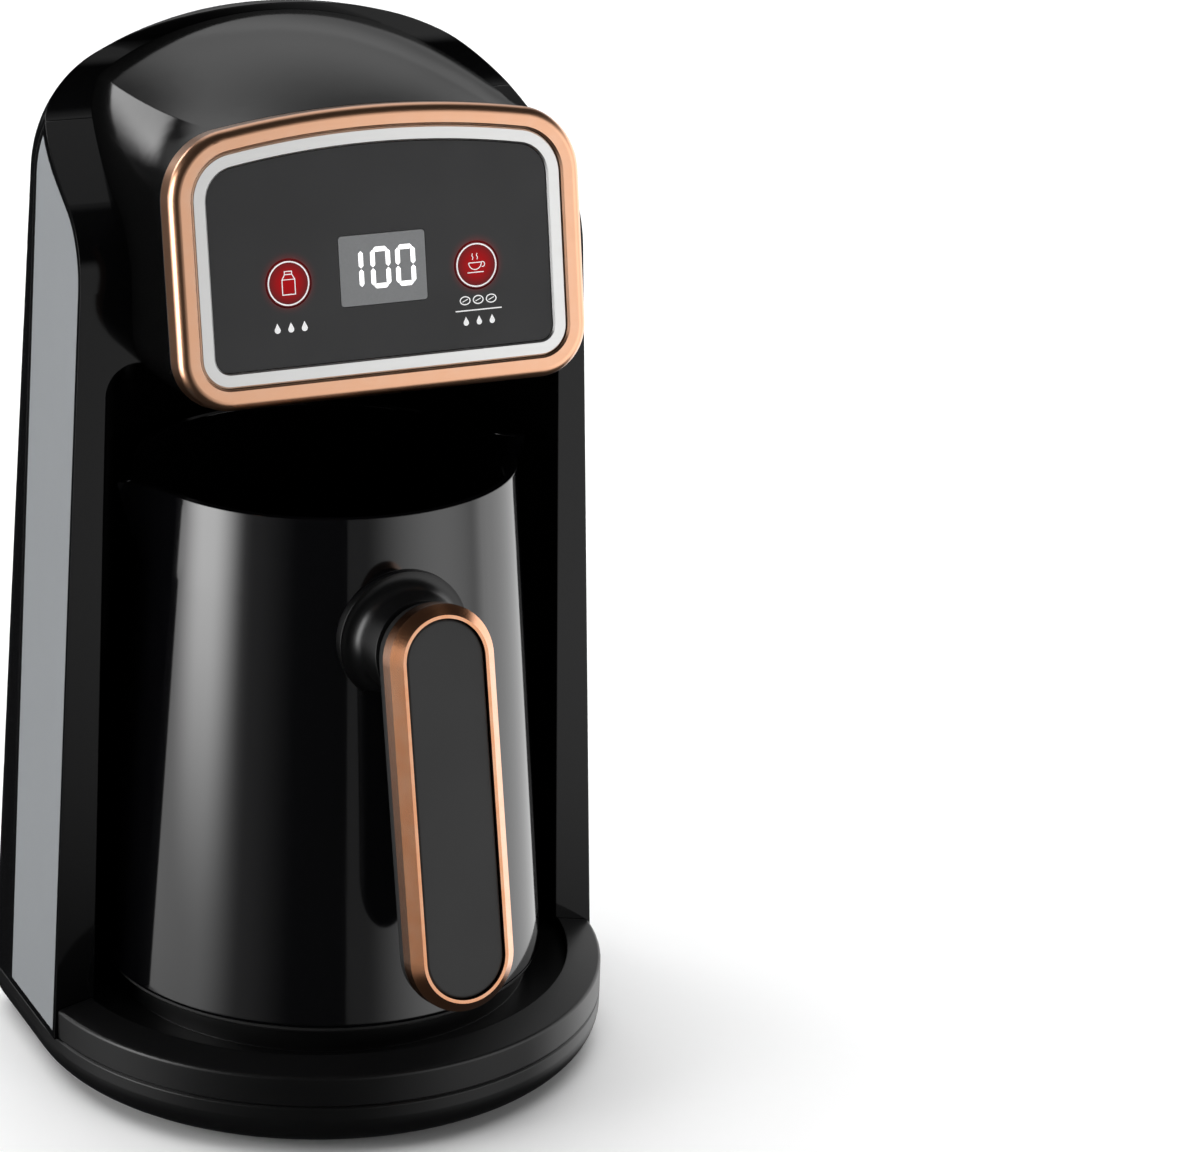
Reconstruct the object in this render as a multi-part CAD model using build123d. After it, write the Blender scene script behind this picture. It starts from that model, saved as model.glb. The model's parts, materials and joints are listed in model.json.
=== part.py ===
from build123d import *
from math import atan2, cos, hypot, radians, sin, sqrt, tan
import os

# Electric coffee pot: a heated pot that pulls forward out of the bay of a hooded stand.
# Millimetres. The pot's axis is x = 0, y = 0 while modelling, the table is z = 0 and the front faces -y.

# Fits
FIT_GAP = 0.15
SLIDE_GAP = 0.3
SCREW_GAP = 0.05

# Column
BODY_WIDTH = 150.0
BODY_HEIGHT = 262.6
BODY_DRAFT = 2.75
REAR_DRAFT = 4.3
ARCH_RADIUS = 132.0
ARCH_CORNER = 30.0
BODY_WALL = 2.6
REAR_BOW = 114.0
REAR_ROUND = 16.0
DUCT_DEPTH = 9.0
PILLAR_FRONT = 7.0
PILLAR_WIDTH = 10.2
PILLAR_TOP_WIDTH = 7.09
COVER_LAP = 17.0
SHOULDER_DROP = 56.6
SHOULDER_ROUND = 22.0
SHOULDER_TURN = 60.0
SHOULDER_RUN = 30.0
CREST_ROUND = 18.0
PANEL_SKIN = 1.4
PANEL_MARGIN = 1.8

# Bay for the pot
BAY_CENTRE = -4.0
LINTEL_TALL = 18.0
BAY_WALL = 2.0
BAY_ROUND = 8.0

# Base
FOOT_HEIGHT = 1.5
FOOT_RADIUS = 8.0
FOOT_SINK = 1.0
FOOT_SIDE_SET = 33.0
FOOT_FRONT_SET = 40.0
FOOT_REAR_SET = 27.0
SEAM_HEIGHT = 13.5
SEAM_GROOVE = 0.5
BASE_CENTRE = 5.0
PAN_WALL = 2.4
PAN_ROUND = 8.5
DECK_HEIGHT = 23.4
DECK_WALL = 2.4
BAND_WIDTH = 8.8
BAND_DROP = 1.9
BAND_ROUND = 0.8
MOAT_DEPTH = 3.4
SEAT_MARGIN = 4.0
SEAT_HEIGHT = 26.4
SEAT_ROUND = 1.2

# Supply in the base
POWER_HALF = 42.0
POWER_FRONT = -24.0
POWER_REAR = 32.0
POWER_LIFT = 7.6
POWER_POST_SET = 4.0
POWER_POST_RADIUS = 3.0
POWER_SCREW_LENGTH = 3.2
RELAY_X = -20.5
RELAY_Y = 10.0
RELAY_LONG = 19.0
RELAY_DEEP = 16.0
RELAY_TALL = 12.5
CORE_X = 17.0
CORE_Y = 8.0
CORE_LONG = 26.0
CORE_DEEP = 20.0
CORE_TALL = 11.0
WINDING_LONG = 18.0
WINDING_DEEP = 28.0
WINDING_LIFT = 1.5
CAPACITOR_X = -4.0
CAPACITOR_Y = -12.0
CAPACITOR_RADIUS = 5.0
CAPACITOR_TALL = 12.0
TERMINAL_X = -14.0
TERMINAL_Y = 27.0
TERMINAL_PITCH = 6.0
TERMINAL_DEEP = 8.0
TERMINAL_TALL = 7.0
TERMINAL_WELL = 1.8
CASE_ROUND = 0.8

# Head and control panel
PANEL_TILT = 10.2
PANEL_REACH = 34.0
PANEL_DROP = 45.3
HEAD_MARGIN = 22.9
HEAD_LOW = -33.8
HEAD_CREST = 34.2
HEAD_CORNER = 12.5
HEAD_SHOULDER = 16.5
HEAD_TOP_RADIUS = 235.0
HEAD_WALL = 2.4
HOOD_MID_Y = 8.0
HOOD_MID_SWELL = 1.2
HOOD_MID_SIDE = 40.6
HOOD_MID_RIDGE_IN = 8.2
HOOD_MID_RIDGE = 15.6
HOOD_MID_CREST = 3.2
HOOD_BACK_Y = 46.0
HOOD_BACK_SWELL = 1.7
HOOD_BACK_SIDE = 38.6
HOOD_BACK_RIDGE_IN = 7.3
HOOD_BACK_RIDGE = 13.6
HOOD_BACK_CREST = 2.2
BEZEL_DEPTH = 7.0
BEZEL_WIDTH = 5.2
BEZEL_ROUND = 2.4
TRIM_WIDTH = 3.5
TRIM_SINK = 0.5
GLASS_THICK = 2.5
GLASS_SINK = 1.1
CARRIER_RING = 3.0
CARRIER_MARGIN = 1.6
CARRIER_FLANGE = 2.4
BOARD_THICK = 1.6
BOARD_SINK = 16.0
BOARD_MARGIN = 7.1
BOARD_LOW = -22.0
BOARD_HIGH = 12.0
POST_SET = 3.0
POST_RISE = 4.0
POST_RADIUS = 2.4
BOARD_SCREW_LENGTH = 7.0
DISPLAY_WIDTH = 22.0
DISPLAY_TALL = 16.5
DISPLAY_Y = -4.0
DISPLAY_ROUND = 0.8
DISPLAY_LAP = 1.0
KEY_SHARE = 0.405
KEY_Y = -5.4
KEY_RADIUS = 5.5
KEY_LIP = 1.0
KEY_LIP_THICK = 1.2
KEY_STEM = 1.8
KEY_TRAVEL = 0.8
KEY_SPARE = 0.2
SWITCH_SIDE = 6.0
SWITCH_TALL = 3.2
SWITCH_WELL = 1.0
GUIDE_WALL = 1.2
GUIDE_GAP = 0.4
BUZZER_SET = 16.0
BUZZER_RADIUS = 6.0
BUZZER_TALL = 7.0
BUZZER_HOLE = 1.2
CONNECTOR_SET = 12.0
CONNECTOR_LONG = 12.0
CONNECTOR_WIDE = 7.0
CONNECTOR_TALL = 6.0
FLOOR_MARGIN = 16.1
FLOOR_FRONT = -27.0
FLOOR_LAP = 2.4
FLOOR_FLANGE = 1.6
SENSOR_Y = -14.6
SENSOR_RADIUS = 4.0
SENSOR_FLANGE = 2.0
LENS_THICK = 1.2
LENS_SINK = 0.3
SENSOR_LONG = 15.0
SENSOR_DEEP = 10.5
SENSOR_TALL = 7.0

# Wiring
LOOM_RADIUS = 1.8
LOOM_BEND = 4.0
LOOM_TURN = 40.0
LOOM_LOW_GAP = 6.3
LOOM_TOP_GAP = 2.8
LOOM_X = 36.0
LOOM_Y = 14.0
LOOM_RISE = 11.0
LOOM_STEP = 8.0
LOOM_WINDOW_SET = 10.0
PLUG_RUN = 9.0
CONNECTOR_Y = -6.0
DOCK_LEAD = 1.0
DOCK_LEAD_BEND = 3.0

# Pot
POT_GAP = 0.2
POT_CLEARANCE = 7.8
POT_TAPER = 9.5
RIM_ROOM = 31.7
POT_WALL = 1.8
POT_LIFT = 1.4
POT_SOFT = 1.0
SPOUT_PROUD = 7.3
SPOUT_HALF_ANGLE = 19.0
SPOUT_DEPTH = 20.0
POT_FLOOR = 44.0
PLATE_THICK = 2.0
LEDGE_WIDTH = 3.5
LEDGE_THICK = 2.2
SEAL_WIDTH = 2.0
SEAL_PROUD = 0.6
ELEMENT_SET = 21.0
ELEMENT_ROD = 3.4
ELEMENT_PIN = 1.2
CUTOUT_RADIUS = 9.0
CUTOUT_FLANGE = 2.2
CUTOUT_NECK = 7.5
CUTOUT_TALL = 7.0
PROBE_RADIUS = 4.0
PROBE_FLANGE = 1.2
PROBE_NECK = 2.4
PROBE_TALL = 9.0
BASE_RIM = 0.8
BASE_LIP = 3.0
BASE_LIP_WALL = 2.4
POT_SCREW_SET = 11.0
POT_SCREW_LENGTH = 9.0
PLUG_WIDTH = 28.0
PLUG_TALL = 8.0
PLUG_DEEP = 12.0
PLUG_PROUD = 1.6
PIN_RADIUS = 1.6
PIN_PITCH = 8.0
PIN_LENGTH = 5.0
PIN_ROOT = 14.0
SLEEVE_WALL = 1.1
DOCK_HEIGHT = 37.0
DOCK_MARGIN = 2.0

# Handle
HANDLE_TILT = 12.3
HANDLE_REACH = 24.5
HANDLE_LENGTH = 97.5
HANDLE_WIDTH = 26.6
HANDLE_DEPTH = 12.5
HANDLE_RISE = 15.43
FRAME_WIDTH = 3.2
FRAME_DEPTH = 6.5
FRAME_SLOPE = 2.4
CORE_INSET = 0.4
CORE_ROUND = 3.6
INLAY_SINK = 0.7
INLAY_THICK = 3.0
INLAY_ROUND = 0.8
NECK_DROP = 29.8
NECK_RADIUS = 12.5
NECK_FLARE = 4.0
BOLT_RADIUS = 2.4
BOLT_HEAD = 4.3
BOLT_HEAD_TALL = 2.6
BOLT_HEAD_SINK = 4.0

# Screws: radius of shank and head, lengths and places
SCREW_SHANK = 1.25
SCREW_HEAD = 2.7
SCREW_HEAD_TALL = 1.8
BOSS_RADIUS = 3.4
BOSS_CLEAR = 1.1
BACK_SCREW_X = 22.0
BACK_SCREW_RISE = 48.5
BACK_SCREW_DROP = 30.0
BACK_SCREW_LENGTH = 6.4
HEAD_SCREW_SET = 4.1
HEAD_SCREW_LENGTH = 8.0
BODY_SCREW_SET = 13.5
BODY_SCREW_Y = 26.0
BODY_BOSS_TOP = 45.0
DECK_SCREW_X = 22.0
DECK_SCREW_SET = 22.0
BASE_SCREW_LENGTH = 12.0

# Cord gland
GLAND_X = 27.0
GLAND_HEIGHT = 30.0
GLAND_BORE = 3.6
GLAND_RADIUS = 5.6
GLAND_FLANGE = 7.6
GLAND_PROUD = 3.2
GLAND_LENGTH = 9.5
GLAND_ROUND = 1.0

# Sizes that follow from these
LEAN = radians(BODY_DRAFT)
REAR_LEAN = radians(REAR_DRAFT)
HALF_WIDTH = BODY_WIDTH / 2
ARCH_CENTRE = BODY_HEIGHT - ARCH_RADIUS
CORNER_SET = HALF_WIDTH - ARCH_CORNER / cos(LEAN) - tan(LEAN) * (ARCH_CENTRE - SEAM_HEIGHT)
CORNER_REACH = (ARCH_RADIUS - ARCH_CORNER) / cos(LEAN)
CORNER_RISE = (CORNER_SET * tan(LEAN) + sqrt(CORNER_REACH**2 - CORNER_SET**2)) * cos(LEAN) ** 2
CORNER_X = CORNER_SET - tan(LEAN) * CORNER_RISE
CORNER_Z = ARCH_CENTRE + CORNER_RISE
SHOULDER_HEIGHT = BODY_HEIGHT - SHOULDER_DROP
BAY_CEILING = SHOULDER_HEIGHT - LINTEL_TALL
BAY_RADIUS = HALF_WIDTH - PILLAR_WIDTH
BAY_TOP_RADIUS = HALF_WIDTH - tan(LEAN) * (BAY_CEILING - SEAM_HEIGHT) - PILLAR_TOP_WIDTH
BODY_REAR = BAY_CENTRE + BAY_RADIUS + BAY_WALL + DUCT_DEPTH + BODY_WALL
COVER_SPLIT = BODY_REAR - REAR_BOW + sqrt(REAR_BOW**2 - HALF_WIDTH**2) - COVER_LAP
MOAT_HEIGHT = DECK_HEIGHT - MOAT_DEPTH
POWER_TOP = POWER_LIFT + BOARD_THICK
POT_RADIUS = BAY_RADIUS - POT_CLEARANCE
POT_RIM_RADIUS = POT_RADIUS - POT_TAPER
POT_RIM_HEIGHT = BAY_CEILING - RIM_ROOM
POT_BASE = SEAT_HEIGHT + POT_GAP
POT_SKIRT = POT_BASE + POT_LIFT
SPOUT_REACH = POT_RIM_RADIUS + SPOUT_PROUD
SEAT_RADIUS = POT_RADIUS - SEAT_MARGIN
ELEMENT_RADIUS = POT_RADIUS - ELEMENT_SET
PROBE_Y = -(ELEMENT_RADIUS - ELEMENT_ROD + CUTOUT_RADIUS) / 2
LEDGE_LOW = POT_FLOOR - LEDGE_THICK
NECK_HEIGHT = POT_RIM_HEIGHT - NECK_DROP
PANEL_MIDDLE = BODY_HEIGHT - PANEL_DROP
TILT = radians(PANEL_TILT)
PANEL = Plane(
    origin=(0, -PANEL_REACH, PANEL_MIDDLE), x_dir=(1, 0, 0), z_dir=(0, -cos(TILT), sin(TILT))
)
HEAD_HALF = HALF_WIDTH - HEAD_MARGIN
HEAD_FLOOR = PANEL_MIDDLE + HEAD_LOW * cos(TILT) - BEZEL_DEPTH * sin(TILT)
FLOOR_HALF = HEAD_HALF - FLOOR_MARGIN
FLOOR_BACK = -PILLAR_FRONT - FLOOR_LAP
FLOOR_TOP = HEAD_FLOOR + HEAD_WALL
GLASS_INSET = BEZEL_WIDTH + TRIM_WIDTH + 2 * FIT_GAP
GLASS_BACK = -GLASS_SINK - GLASS_THICK
BOARD_HALF = HEAD_HALF - BOARD_MARGIN
BOARD_BACK = -BOARD_SINK - BOARD_THICK
POST_X = BOARD_HALF - POST_SET
CONNECTOR_X = POST_X - CONNECTOR_SET
KEY_X = DISPLAY_WIDTH / 2 + KEY_SHARE * (HEAD_HALF - GLASS_INSET - DISPLAY_WIDTH / 2)
KEY_BACK = GLASS_BACK - SLIDE_GAP - KEY_LIP_THICK
SWITCH_TOP = -BOARD_SINK + SWITCH_TALL
PLUNGER_TOP = SWITCH_TOP + KEY_TRAVEL + KEY_SPARE
GRIP = radians(HANDLE_TILT)
HANDLE_FRONT = POT_RADIUS + HANDLE_REACH
HANDLE_MIDDLE = NECK_HEIGHT + HANDLE_RISE - HANDLE_LENGTH / 2 * cos(GRIP)
HANDLE = Plane(
    origin=(0, -HANDLE_FRONT, HANDLE_MIDDLE), x_dir=(1, 0, 0), z_dir=(0, -cos(GRIP), sin(GRIP))
)
HEAD_SCREW_X = HEAD_HALF - HEAD_SCREW_SET
LOOM_WINDOW = HEAD_SCREW_X - LOOM_WINDOW_SET
POT_SCREW_RADIUS = POT_RADIUS - POT_SCREW_SET

# Places of repeated pieces
SIDES = (-1, 1)
BODY_SCREW_SPOTS = [(side * (HALF_WIDTH - BODY_SCREW_SET), BODY_SCREW_Y) for side in SIDES]
DECK_SCREW_SPOTS = [(side * DECK_SCREW_X, BASE_CENTRE - HALF_WIDTH + DECK_SCREW_SET) for side in SIDES]
HEAD_SCREW_Z = (BAY_CEILING + BAY_WALL + SHOULDER_HEIGHT) / 2
HEAD_SCREW_SPOTS = [(side * HEAD_SCREW_X, HEAD_SCREW_Z) for side in SIDES]
FOOT_ROWS = (BASE_CENTRE - HALF_WIDTH + FOOT_FRONT_SET, BODY_REAR - FOOT_REAR_SET)
FOOT_SPOTS = [(side * (HALF_WIDTH - FOOT_SIDE_SET), y) for y in FOOT_ROWS for side in SIDES]
POWER_ROWS = (POWER_FRONT + POWER_POST_SET, POWER_REAR - POWER_POST_SET)
POWER_POSTS = [(side * (POWER_HALF - POWER_POST_SET), y) for y in POWER_ROWS for side in SIDES]
BOARD_ROWS = (BOARD_LOW + POST_RISE, BOARD_HIGH - POST_RISE)
BOARD_POSTS = [(side * POST_X, y) for side in SIDES for y in BOARD_ROWS]
PIN_SPOTS = (-PIN_PITCH, 0.0, PIN_PITCH)
POT_SCREW_ANGLES = (30, 150, 270)
POT_SCREW_SPOTS = [
    (POT_SCREW_RADIUS * cos(radians(turn)), POT_SCREW_RADIUS * sin(radians(turn)))
    for turn in POT_SCREW_ANGLES
]

# Sections of the head behind the bezel: y, then half width, side top, ridge and crest
HEAD_SECTIONS = [
    (
        HOOD_MID_Y,
        HEAD_HALF + HOOD_MID_SWELL,
        BODY_HEIGHT - HOOD_MID_SIDE,
        (HEAD_HALF - HOOD_MID_RIDGE_IN, BODY_HEIGHT - HOOD_MID_RIDGE),
        BODY_HEIGHT - HOOD_MID_CREST,
    ),
    (
        HOOD_BACK_Y,
        HEAD_HALF + HOOD_BACK_SWELL,
        BODY_HEIGHT - HOOD_BACK_SIDE,
        (HEAD_HALF - HOOD_BACK_RIDGE_IN, BODY_HEIGHT - HOOD_BACK_RIDGE),
        BODY_HEIGHT - HOOD_BACK_CREST,
    ),
]


# Shared helpers


def face_from(path):
    """Face from a list of (point, arc midpoint or None for a straight edge)."""
    edges = []
    for (start, middle), (end, _) in zip(path, path[1:] + path[:1]):
        edges.append(Line(start, end) if middle is None else ThreePointArc(start, middle, end))
    return make_face(edges)


def group(shapes):
    """Several separate solids in one piece."""
    return Compound([solid for shape in shapes for solid in shape.solids()])


def rod(radius, low, high):
    """Upright cylinder between two heights."""
    return Pos(0, 0, (low + high) / 2) * Cylinder(radius, high - low)


def block(x0, x1, y0, y1, z0, z1):
    """Box between two corners."""
    middle = Pos((x0 + x1) / 2, (y0 + y1) / 2, (z0 + z1) / 2)
    return middle * Box(abs(x1 - x0), abs(y1 - y0), abs(z1 - z0))


def screw(length):
    """Pan-head screw, its seat at z = 0 and its shank along +z."""
    return rod(SCREW_HEAD, -SCREW_HEAD_TALL, 0) + rod(SCREW_SHANK, 0, length)


def screw_hole(length):
    """Hole for the screw's shank, along +z."""
    return rod(SCREW_SHANK + SCREW_GAP, -0.01, length + 0.5)


def screw_sink():
    """Sunk seat for the screw's head, along -z."""
    return rod(SCREW_HEAD + FIT_GAP, -20, 0)


def facing_back(x, y, z):
    """Place with its +z along -y, for screws driven in from the back."""
    return Plane(origin=(x, y, z), x_dir=(1, 0, 0), z_dir=(0, -1, 0))


# Column


def sweep_points(inset):
    """Side view points of the column's front edge, where it sweeps back over the shoulder."""
    turn = radians(SHOULDER_TURN)
    low = (-PILLAR_FRONT + SHOULDER_ROUND, SHOULDER_HEIGHT)
    inner = SHOULDER_ROUND - inset
    p0 = (-PILLAR_FRONT + inset, SHOULDER_HEIGHT)
    m1 = (low[0] - inner * cos(turn / 2), low[1] + inner * sin(turn / 2))
    p1 = (low[0] - inner * cos(turn), low[1] + inner * sin(turn))
    p2 = (p1[0] + SHOULDER_RUN * sin(turn), p1[1] + SHOULDER_RUN * cos(turn))
    outer = CREST_ROUND + inset
    high = (p2[0] - outer * cos(turn), p2[1] + outer * sin(turn))
    m2 = (high[0] + outer * cos(turn / 2), high[1] - outer * sin(turn / 2))
    p3 = (high[0] + outer, high[1])
    return p0, m1, p1, p2, m2, p3


def side_prism(inset, floor):
    """Everything behind the column's front edge."""
    p0, m1, p1, p2, m2, p3 = sweep_points(inset)
    top = BODY_HEIGHT + 20
    back = BODY_REAR + 40
    outline = face_from(
        [
            ((p0[0], floor), None),
            (p0, m1),
            (p1, None),
            (p2, m2),
            (p3, None),
            ((p3[0], top), None),
            ((back, top), None),
            ((back, floor), None),
        ]
    )
    return extrude(Plane.YZ * outline, amount=BODY_WIDTH, both=True)


def hood_region(gap):
    """Everything in front of the column's front edge, for the head."""
    p0, m1, p1, p2, m2, p3 = sweep_points(-gap)
    top = BODY_HEIGHT + 20
    far = -PANEL_REACH - HALF_WIDTH
    low = SHOULDER_HEIGHT - HALF_WIDTH
    outline = face_from(
        [
            ((far, low), None),
            ((p0[0], low), None),
            (p0, m1),
            (p1, None),
            (p2, m2),
            (p3, None),
            ((p3[0], top), None),
            ((far, top), None),
        ]
    )
    return extrude(Plane.YZ * outline, amount=BODY_WIDTH, both=True)


def body_solid(inset, floor):
    """Outside form of the column, moved in by inset, from the height floor up."""
    half = HALF_WIDTH - inset / cos(LEAN) - tan(LEAN) * (floor - SEAM_HEIGHT)
    corner = ARCH_CORNER - inset
    end = atan2(CORNER_RISE, CORNER_X)
    turns = (LEAN, (LEAN + end) / 2, end)
    low, middle, high = [(CORNER_X + corner * cos(turn), CORNER_Z + corner * sin(turn)) for turn in turns]
    tomb = face_from(
        [
            ((-half, floor), None),
            ((half, floor), None),
            (low, middle),
            (high, (0, BODY_HEIGHT - inset)),
            ((-high[0], high[1]), (-middle[0], middle[1])),
            ((-low[0], low[1]), None),
        ]
    )
    arch = extrude(Plane.XZ * tomb, amount=BODY_WIDTH, both=True)
    axis = Plane(
        origin=(0, BODY_REAR - REAR_BOW, SEAM_HEIGHT),
        x_dir=(1, 0, 0),
        z_dir=(0, -sin(REAR_LEAN), cos(REAR_LEAN)),
    )
    bow = extrude(axis * Circle(REAR_BOW - inset), amount=2 * BODY_HEIGHT, both=True)
    form = arch & bow
    back = form.faces().filter_by(GeomType.CYLINDER).sort_by(Axis.Y)[-1]
    rear_edges = [edge for edge in back.edges() if edge.center().Z > floor + 1]
    return fillet(rear_edges, REAR_ROUND - inset) & side_prism(inset, floor)


def bay_solid(grow, low, high):
    """Space of the bay, open to the front, made larger by grow."""
    sections = []
    for z in (low, high):
        share = (z - SEAM_HEIGHT) / (BAY_CEILING - SEAM_HEIGHT)
        radius = BAY_RADIUS + (BAY_TOP_RADIUS - BAY_RADIUS) * share + grow
        front = BAY_CENTRE - HALF_WIDTH
        outline = face_from(
            [
                ((radius, front), None),
                ((radius, BAY_CENTRE), (0, BAY_CENTRE + radius)),
                ((-radius, BAY_CENTRE), None),
                ((-radius, front), None),
            ]
        )
        sections.append(Pos(0, 0, z) * outline)
    space = loft(sections, ruled=True)
    top = space.faces().sort_by(Axis.Z)[-1]
    rim = [edge for edge in top.edges() if edge.center().Y > BAY_CENTRE - HALF_WIDTH + 1]
    return fillet(rim, BAY_ROUND + grow)


def panel_skin(side, gap, thick):
    """Grey side panel, or its recess: the outer skin of the column on one side."""
    floor = SEAM_HEIGHT + PANEL_MARGIN - gap
    skin = body_solid(0, floor) - body_solid(thick, floor - 5)
    region = side_prism(PANEL_MARGIN - gap, floor)
    back = COVER_SPLIT - PANEL_MARGIN + gap
    half = block(0, side * BODY_WIDTH, -BODY_WIDTH, back, 0, 2 * BODY_HEIGHT)
    return skin & region & half


def back_screw_spots():
    """Screws that hold the back cover: (x, z) and the y of the cover's inner face."""
    spots = []
    for z in (SEAM_HEIGHT + BACK_SCREW_RISE, BAY_CEILING - BACK_SCREW_DROP):
        for x in (-BACK_SCREW_X, BACK_SCREW_X):
            drop = REAR_BOW - sqrt(REAR_BOW**2 - x**2)
            inner = BODY_REAR - drop - BODY_WALL - tan(REAR_LEAN) * (z - SEAM_HEIGHT)
            spots.append((x, z, inner))
    return spots


def column_parts():
    """Front shell with pillars and bay, and the back cover."""
    shell = body_solid(0, SEAM_HEIGHT) - body_solid(BODY_WALL, SEAM_HEIGHT - 5)
    at_split = Plane(origin=(0, COVER_SPLIT, 0), x_dir=(1, 0, 0), z_dir=(0, 1, 0))
    front = split(shell, bisect_by=at_split, keep=Keep.BOTTOM)
    back = split(shell, bisect_by=at_split, keep=Keep.TOP)
    front += bay_solid(BAY_WALL, SEAM_HEIGHT, BAY_CEILING + BAY_WALL) & body_solid(0, SEAM_HEIGHT)
    front = column_bosses(front)
    front -= bay_solid(0, SEAM_HEIGHT - 1, BAY_CEILING)
    front -= block(
        -LOOM_WINDOW,
        LOOM_WINDOW,
        -PILLAR_FRONT - 5,
        SHOULDER_ROUND - 10,
        BAY_CEILING + BAY_WALL + 4,
        SHOULDER_HEIGHT + 12,
    )
    for side in SIDES:
        front -= panel_skin(side, FIT_GAP, PANEL_SKIN + FIT_GAP)
    return column_holes(front), cover_holes(back)


def column_bosses(front):
    """Bosses for the screws of the back cover and of the base."""
    for x, z, inner in back_screw_spots():
        share = (z - SEAM_HEIGHT) / (BAY_CEILING - SEAM_HEIGHT)
        radius = BAY_RADIUS + (BAY_TOP_RADIUS - BAY_RADIUS) * share + BAY_WALL
        start = BAY_CENTRE + sqrt(radius**2 - x**2) - 2.5
        end = inner - BOSS_CLEAR
        front += facing_back(x, end, z) * rod(BOSS_RADIUS, 0, end - start)
    for x, y in BODY_SCREW_SPOTS:
        front += Pos(x, y, 0) * rod(BOSS_RADIUS, FOOT_HEIGHT + PAN_WALL + FIT_GAP, BODY_BOSS_TOP)
    return front


def column_holes(front):
    """Screw holes of the front shell and the window for the dock."""
    for x, z, inner in back_screw_spots():
        front -= facing_back(x, inner, z) * screw_hole(BACK_SCREW_LENGTH - BODY_WALL)
    for x, y in BODY_SCREW_SPOTS:
        front -= Pos(x, y, FOOT_HEIGHT + PAN_WALL) * screw_hole(BASE_SCREW_LENGTH)
    for x, z in HEAD_SCREW_SPOTS:
        front -= facing_back(x, -PILLAR_FRONT + BODY_WALL, z) * screw_hole(BODY_WALL)
    half = PLUG_WIDTH / 2 + DOCK_MARGIN + FIT_GAP
    tall = PLUG_TALL / 2 + DOCK_MARGIN + FIT_GAP
    low, high = DOCK_HEIGHT - tall, DOCK_HEIGHT + tall
    return front - block(-half, half, POT_RADIUS - PLUG_DEEP, BODY_REAR, low, high)


def cover_holes(back):
    """Sunk screw seats and the gland's hole in the back cover."""
    for x, z, inner in back_screw_spots():
        back -= facing_back(x, inner + BODY_WALL, z) * screw_hole(BACK_SCREW_LENGTH)
        back -= facing_back(x, inner + BODY_WALL - SCREW_HEAD_TALL, z) * screw_sink()
    hole = GLAND_RADIUS + FIT_GAP
    return back - facing_back(GLAND_X, BODY_REAR, GLAND_HEIGHT) * rod(hole, 0, BODY_REAR)


def back_screws():
    """Four screws through the back cover."""
    out = []
    for x, z, inner in back_screw_spots():
        seat = facing_back(x, inner + BODY_WALL - SCREW_HEAD_TALL, z)
        out.append(seat * screw(BACK_SCREW_LENGTH - SCREW_HEAD_TALL))
    return group(out)


def cord_gland():
    """Bushing for the mains cord, with a flange on the outside of the back cover."""
    drop = REAR_BOW - sqrt(REAR_BOW**2 - GLAND_X**2)
    face = BODY_REAR - drop - tan(REAR_LEAN) * (GLAND_HEIGHT - SEAM_HEIGHT)
    place = facing_back(GLAND_X, face + GLAND_PROUD, GLAND_HEIGHT)
    flange = rod(GLAND_FLANGE, 0, GLAND_LENGTH)
    flange = place * fillet(flange.edges().sort_by(Axis.Z)[0], GLAND_ROUND)
    flange -= body_solid(-SCREW_GAP, SEAM_HEIGHT)
    sleeve = place * rod(GLAND_RADIUS, GLAND_PROUD / 2, GLAND_LENGTH)
    return flange + sleeve - place * rod(GLAND_BORE, -1, GLAND_LENGTH + 1)


# Base


def base_outline(inset):
    """Plan of the base: a round front, straight sides and a bowed back."""
    half = HALF_WIDTH - inset
    plan = Pos(0, BASE_CENTRE) * Circle(half)
    plan += Pos(0, BASE_CENTRE + HALF_WIDTH) * Rectangle(2 * half, BODY_WIDTH)
    plan &= Pos(0, BODY_REAR - REAR_BOW) * Circle(REAR_BOW - inset)
    corners = plan.vertices().sort_by(Axis.Y)[-2:]
    return fillet(corners, REAR_ROUND - inset)


def base_pan():
    """Lower tray of the base."""
    floor = FOOT_HEIGHT + PAN_WALL
    outer = Pos(0, 0, FOOT_HEIGHT) * extrude(base_outline(0), amount=SEAM_HEIGHT - FOOT_HEIGHT)
    outer = fillet(outer.faces().sort_by(Axis.Z)[0].edges(), PAN_ROUND)
    outer = chamfer(outer.faces().sort_by(Axis.Z)[-1].edges(), SEAM_GROOVE)
    inner = Pos(0, 0, floor) * extrude(base_outline(PAN_WALL), amount=SEAM_HEIGHT)
    inner = fillet(inner.faces().sort_by(Axis.Z)[0].edges(), PAN_ROUND - PAN_WALL)
    pan = outer - inner
    for x, y in POWER_POSTS:
        pan += Pos(x, y, 0) * rod(POWER_POST_RADIUS, floor - 0.5, POWER_LIFT)
        pan -= Pos(x, y, 0) * rod(SCREW_SHANK + SCREW_GAP, floor, POWER_LIFT + 1)
    for x, y in BODY_SCREW_SPOTS + DECK_SCREW_SPOTS:
        pan -= Pos(x, y, floor) * rod(SCREW_SHANK + FIT_GAP, -10, 1)
        pan -= Pos(x, y, FOOT_HEIGHT + SCREW_HEAD_TALL) * screw_sink()
    for x, y in FOOT_SPOTS:
        pan -= Pos(x, y, 0) * rod(FOOT_RADIUS + FIT_GAP, -1, FOOT_HEIGHT + FOOT_SINK)
    return pan


def rubber_feet():
    """Four round feet, sunk in the tray."""
    foot = rod(FOOT_RADIUS, 0, FOOT_HEIGHT + FOOT_SINK)
    foot = chamfer(foot.edges().sort_by(Axis.Z)[0], 0.4)
    return group([Pos(x, y, 0) * foot for x, y in FOOT_SPOTS])


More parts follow.
